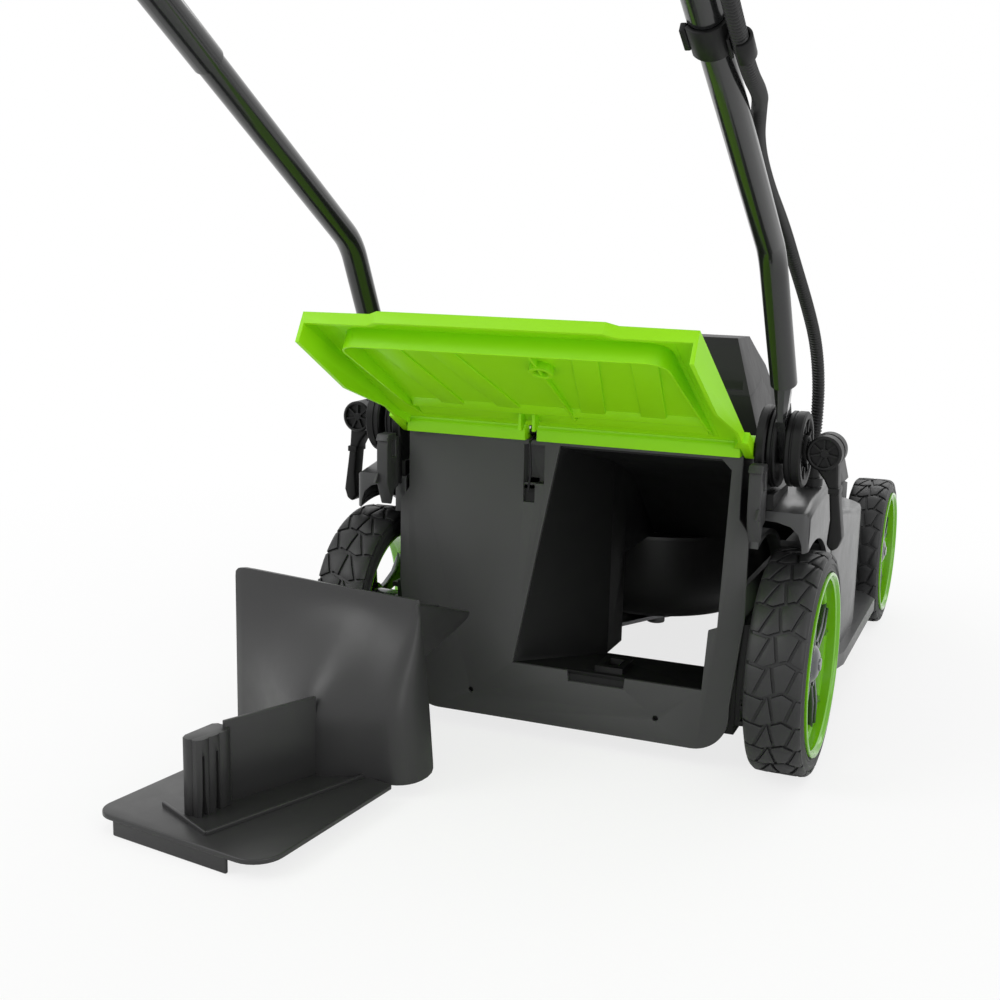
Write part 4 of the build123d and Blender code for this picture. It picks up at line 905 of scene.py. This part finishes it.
def makeConduit():
    # a corrugated hose: rings and grooves take turns along the route
    path = evenly(routeLine("conduitLine", conduitRoute), conduit["pitch"] / 4 * mm)
    sides = conduit["sides"]
    rings = [conduit["radius"], conduit["radius"], conduit["groove"], conduit["groove"]]
    vertices = []
    across = Vector((1, 0, 0))
    for k, spot in enumerate(path):
        ahead = (path[min(k + 1, len(path) - 1)] - path[max(k - 1, 0)]).normalized()
        across = (across - ahead * across.dot(ahead)).normalized()
        upward = ahead.cross(across)
        for side in range(sides):
            turn = 2 * math.pi * side / sides
            vertices.append(spot + (across * math.cos(turn) + upward * math.sin(turn)) * rings[k % 4] * mm)
    faces = []
    for start in range(0, (len(path) - 1) * sides, sides):
        for side in range(sides):
            onward = (side + 1) % sides
            faces.append((start + side, start + onward, start + sides + onward, start + sides + side))
    faces.append(tuple(range(sides - 1, -1, -1)))
    faces.append(tuple(range((len(path) - 1) * sides, len(path) * sides)))
    mesh = bpy.data.meshes.new("cableConduit")
    mesh.from_pydata(vertices, [], faces)
    piece = bpy.data.objects.new("cableConduit", mesh)
    bpy.context.collection.objects.link(piece)
    return smooth(faceOut(piece), 35)


deliver(makeConduit(), "cable_conduit")
# the clip's band goes round the tube, and its loop holds the conduit
clip = {
    "x": 167.0, "tube": 11.4, "band": 2.4, "run": 226.0, "length": 24.0, "loopX": 18.5, "loopLift": -9.6,
    "loop": 5.5, "loopWall": 1.9,
}


def ringArc(name, x, lift, inner, wall, start, end, length):
    # part of a ring about a line along the tube
    turns = [math.radians(start + (end - start) * k / 28) for k in range(29)]
    outline = [(x + (inner + wall) * math.cos(t), lift + (inner + wall) * math.sin(t)) for t in turns]
    outline += [(x + inner * math.cos(t), lift + inner * math.sin(t)) for t in reversed(turns)]
    return soften(plate(name, outline, "Y", -clip["run"] - length, -clip["run"]), 0.5, 2, 40)


def makeClip():
    x, near, length = clip["x"], -clip["run"], clip["length"]
    band = ringArc("clipBand", x, 0, clip["tube"], clip["band"], -140, 112, length)
    loopLine = (x + clip["loopX"], clip["loopLift"])
    loopRing = ringArc("clipLoop", *loopLine, clip["loop"], clip["loopWall"], -100, 200, length - 8)
    ear = soften(block("clipEar", x - 14.4, x - 10.6, near - 21, near - 4, -9, -3), 0.8, 3)
    bar = soften(block("clipBar", x + 11.6, x + 13.8, near - 34, near, 4.5, 8), 0.8, 3)
    piece = join("cableClip", [band, loopRing, ear, bar])
    piece.data.transform(moveBy(0, conduit["bendY"], conduit["bendZ"]) @ turnBy(-conduit["tubePitch"], "X"))
    return piece


deliver(makeClip(), "cable_clip")
print("conduit ready")

pod = {"y": 285.0, "foot": 60.0, "top": 147.0, "radius": 100.0}


def makePod():
    # the pod is a cup: its outside and its inside, radius and height
    r, foot, top = pod["radius"], pod["foot"], pod["top"]
    outer = [(9.5, foot), (66, foot), (76, foot + 0.6), (84, foot + 3), (91, foot + 8), (95.5, foot + 16),
             (98, foot + 28), (r, foot + 48), (r + 2.5, top - 6), (r + 4, top - 4), (r + 14, top - 3.2),
             (r + 14, top)]
    inner = [(r - 6, top), (r - 6, top - 4), (r - 2, top - 8), (r - 4, foot + 48), (93.5, foot + 28),
             (91, foot + 18), (86, foot + 10), (78, foot + 5), (68, foot + 3.4), (22, foot + 3),
             (22, foot + 11), (16, foot + 11), (16, foot + 3), (9.5, foot + 3)]
    return smooth(turned("motorPod", outer + inner, "Z", 0, pod["y"], 96), 28)


deliver(makePod(), "motor_pod", "pod_grey")

hood = {
    "back": 80.0, "middle": 285.0, "front": 380.0, "seam": 296.0, "top": 342.0, "narrow": 0.25,
    "narrowFront": 0.12, "fall": 0.055, "fallFrom": 68.0, "waist": 0.03,
}


def tapered(piece):
    # the hood narrows towards the front, and its top falls a little
    for vertex in piece.data.vertices:
        x, y, z = vertex.co / mm
        if y < hood["middle"]:
            part = max(0.0, (y - hood["back"]) / (hood["middle"] - hood["back"]))
            width = 1 - hood["narrow"] * part
        else:
            part = min(1.0, (y - hood["middle"]) / (hood["front"] - hood["middle"]))
            width = 1 - hood["narrow"] - hood["narrowFront"] * part
        rise = max(0.0, (z - hood["seam"]) / (hood["top"] - hood["seam"]))
        fall = rise * hood["fall"] * max(0.0, y - hood["fallFrom"])
        vertex.co = Vector((x * width * (1 - hood["waist"] * rise), y, z - fall)) * mm
    return piece


def subdivided(piece, cuts):
    # the flat faces get enough points to follow the taper
    editAll(piece)
    bpy.ops.mesh.quads_convert_to_tris()
    bpy.ops.mesh.subdivide(number_cuts=cuts)
    leaveEdit()
    return piece


def makeHood(node, width, look=None):
    piece = fromNode(node, node + "_moulding")
    if node == "battery_lid":
        cut(piece, block("recess", -104, 124, 60, 71.2, 300, 322))
    soften(piece, width, 3)
    deliver(smooth(tapered(subdivided(piece, 3))), node, look)


makeHood("motor_hood", 1.8, "hood_grey")
makeHood("battery_lid", 2.2, "hood_grey")
makeHood("lid_window", 0.5)
print("hood ready")

studio = {
    "floorSize": 60, "floorGlow": 0.78, "glowFrom": 0.5, "glowTo": 1.3, "skyLight": 0.75,
    "lampsAimAt": (0, 0.05, 0.25),
}
eye = {"place": (363.77, -1027.62, 422.97), "yaw": 0.38983, "pitch": 0.19426, "roll": 0.02149, "lens": 49.206}


def makeCamera():
    cosPitch = math.cos(eye["pitch"])
    back = Vector((math.sin(eye["yaw"]) * cosPitch, -math.cos(eye["yaw"]) * cosPitch, math.sin(eye["pitch"])))
    side = (-back).cross(Vector((0, 0, 1))).normalized()
    up = side.cross(-back)
    c, s = math.cos(eye["roll"]), math.sin(eye["roll"])
    axes = Matrix((c * side + s * up, c * up - s * side, back)).transposed()
    lensData = bpy.data.cameras.new("studioCamera")
    lensData.lens = eye["lens"]
    lensData.sensor_width = 36.0
    lensData.clip_start = 0.05
    lensData.clip_end = 50.0
    camera = bpy.data.objects.new("studioCamera", lensData)
    bpy.context.collection.objects.link(camera)
    camera.matrix_world = moveBy(*eye["place"]) @ axes.to_4x4()
    bpy.context.scene.camera = camera


makeCamera()


def softLamp(name, place, size, power):
    lamp = bpy.data.lights.new(name, "AREA")
    lamp.shape = "RECTANGLE"
    lamp.size = size[0]
    lamp.size_y = size[1]
    lamp.energy = power
    holder = bpy.data.objects.new(name, lamp)
    bpy.context.collection.objects.link(holder)
    holder.location = place
    holder.rotation_mode = "QUATERNION"
    holder.rotation_quaternion = (Vector(studio["lampsAimAt"]) - Vector(place)).to_track_quat("-Z", "Y")


softLamp("keySoftbox", (-1.9, -1.9, 2.3), (1.6, 1.6), 26)
softLamp("fillSoftbox", (2.3, -1.5, 1.2), (1.2, 2.0), 12)
softLamp("backSoftbox", (0.6, 2.6, 2.2), (2.4, 1.0), 16)


def makeFloor():
    # a matt floor that shows some of its shading near the mower and turns plain white further out
    restAll()
    bpy.ops.mesh.primitive_plane_add(size=studio["floorSize"], location=(0, 0, -0.0002))
    floor = bpy.context.object
    floor.name = "studioFloor"
    finish = Finish("studioWhite")
    finish.set(Base_Color=(0.95, 0.95, 0.95, 1), Roughness=0.9, Specular_IOR_Level=0.1)
    seen = finish.node("ShaderNodeLightPath", {}, {}, "Is Camera Ray")
    away = finish.node("ShaderNodeVectorMath", {"operation": "LENGTH"}, {0: finish.place()}, "Value")
    clear = finish.node("ShaderNodeMapRange", {}, {
        "Value": away, "From Min": studio["glowFrom"], "From Max": studio["glowTo"],
        "To Min": studio["floorGlow"], "To Max": 1.0})
    glow = finish.node("ShaderNodeEmission", {}, {"Color": (1, 1, 1, 1), "Strength": 1.0})
    ground = Signal(finish, finish.shader.outputs["BSDF"])
    mixed = finish.node("ShaderNodeMixShader", {}, {0: seen * clear, 1: ground, 2: glow})
    finish.tree.links.new(mixed.socket, finish.tree.nodes["Material Output"].inputs["Surface"])
    floor.data.materials.append(finish.material)


def makeSky():
    # the world lights softly, and is white where it is seen, mirrored or looked through
    world = bpy.data.worlds.new("studioWorld")
    bpy.context.scene.world = world
    sky = Finish("studioWorld", world, "Background")
    rays = ("Is Camera Ray", "Is Glossy Ray", "Is Transmission Ray")
    seen, glossy, through = (sky.node("ShaderNodeLightPath", {}, {}, ray) for ray in rays)
    most = seen.maths("MAXIMUM", seen, glossy.maths("MAXIMUM", glossy, through))
    sky.set(Color=(1, 1, 1, 1), Strength=studio["skyLight"] + (1 - studio["skyLight"]) * most)


makeFloor()
makeSky()
bpy.context.scene.view_settings.view_transform = "Standard"
print("stage ready")
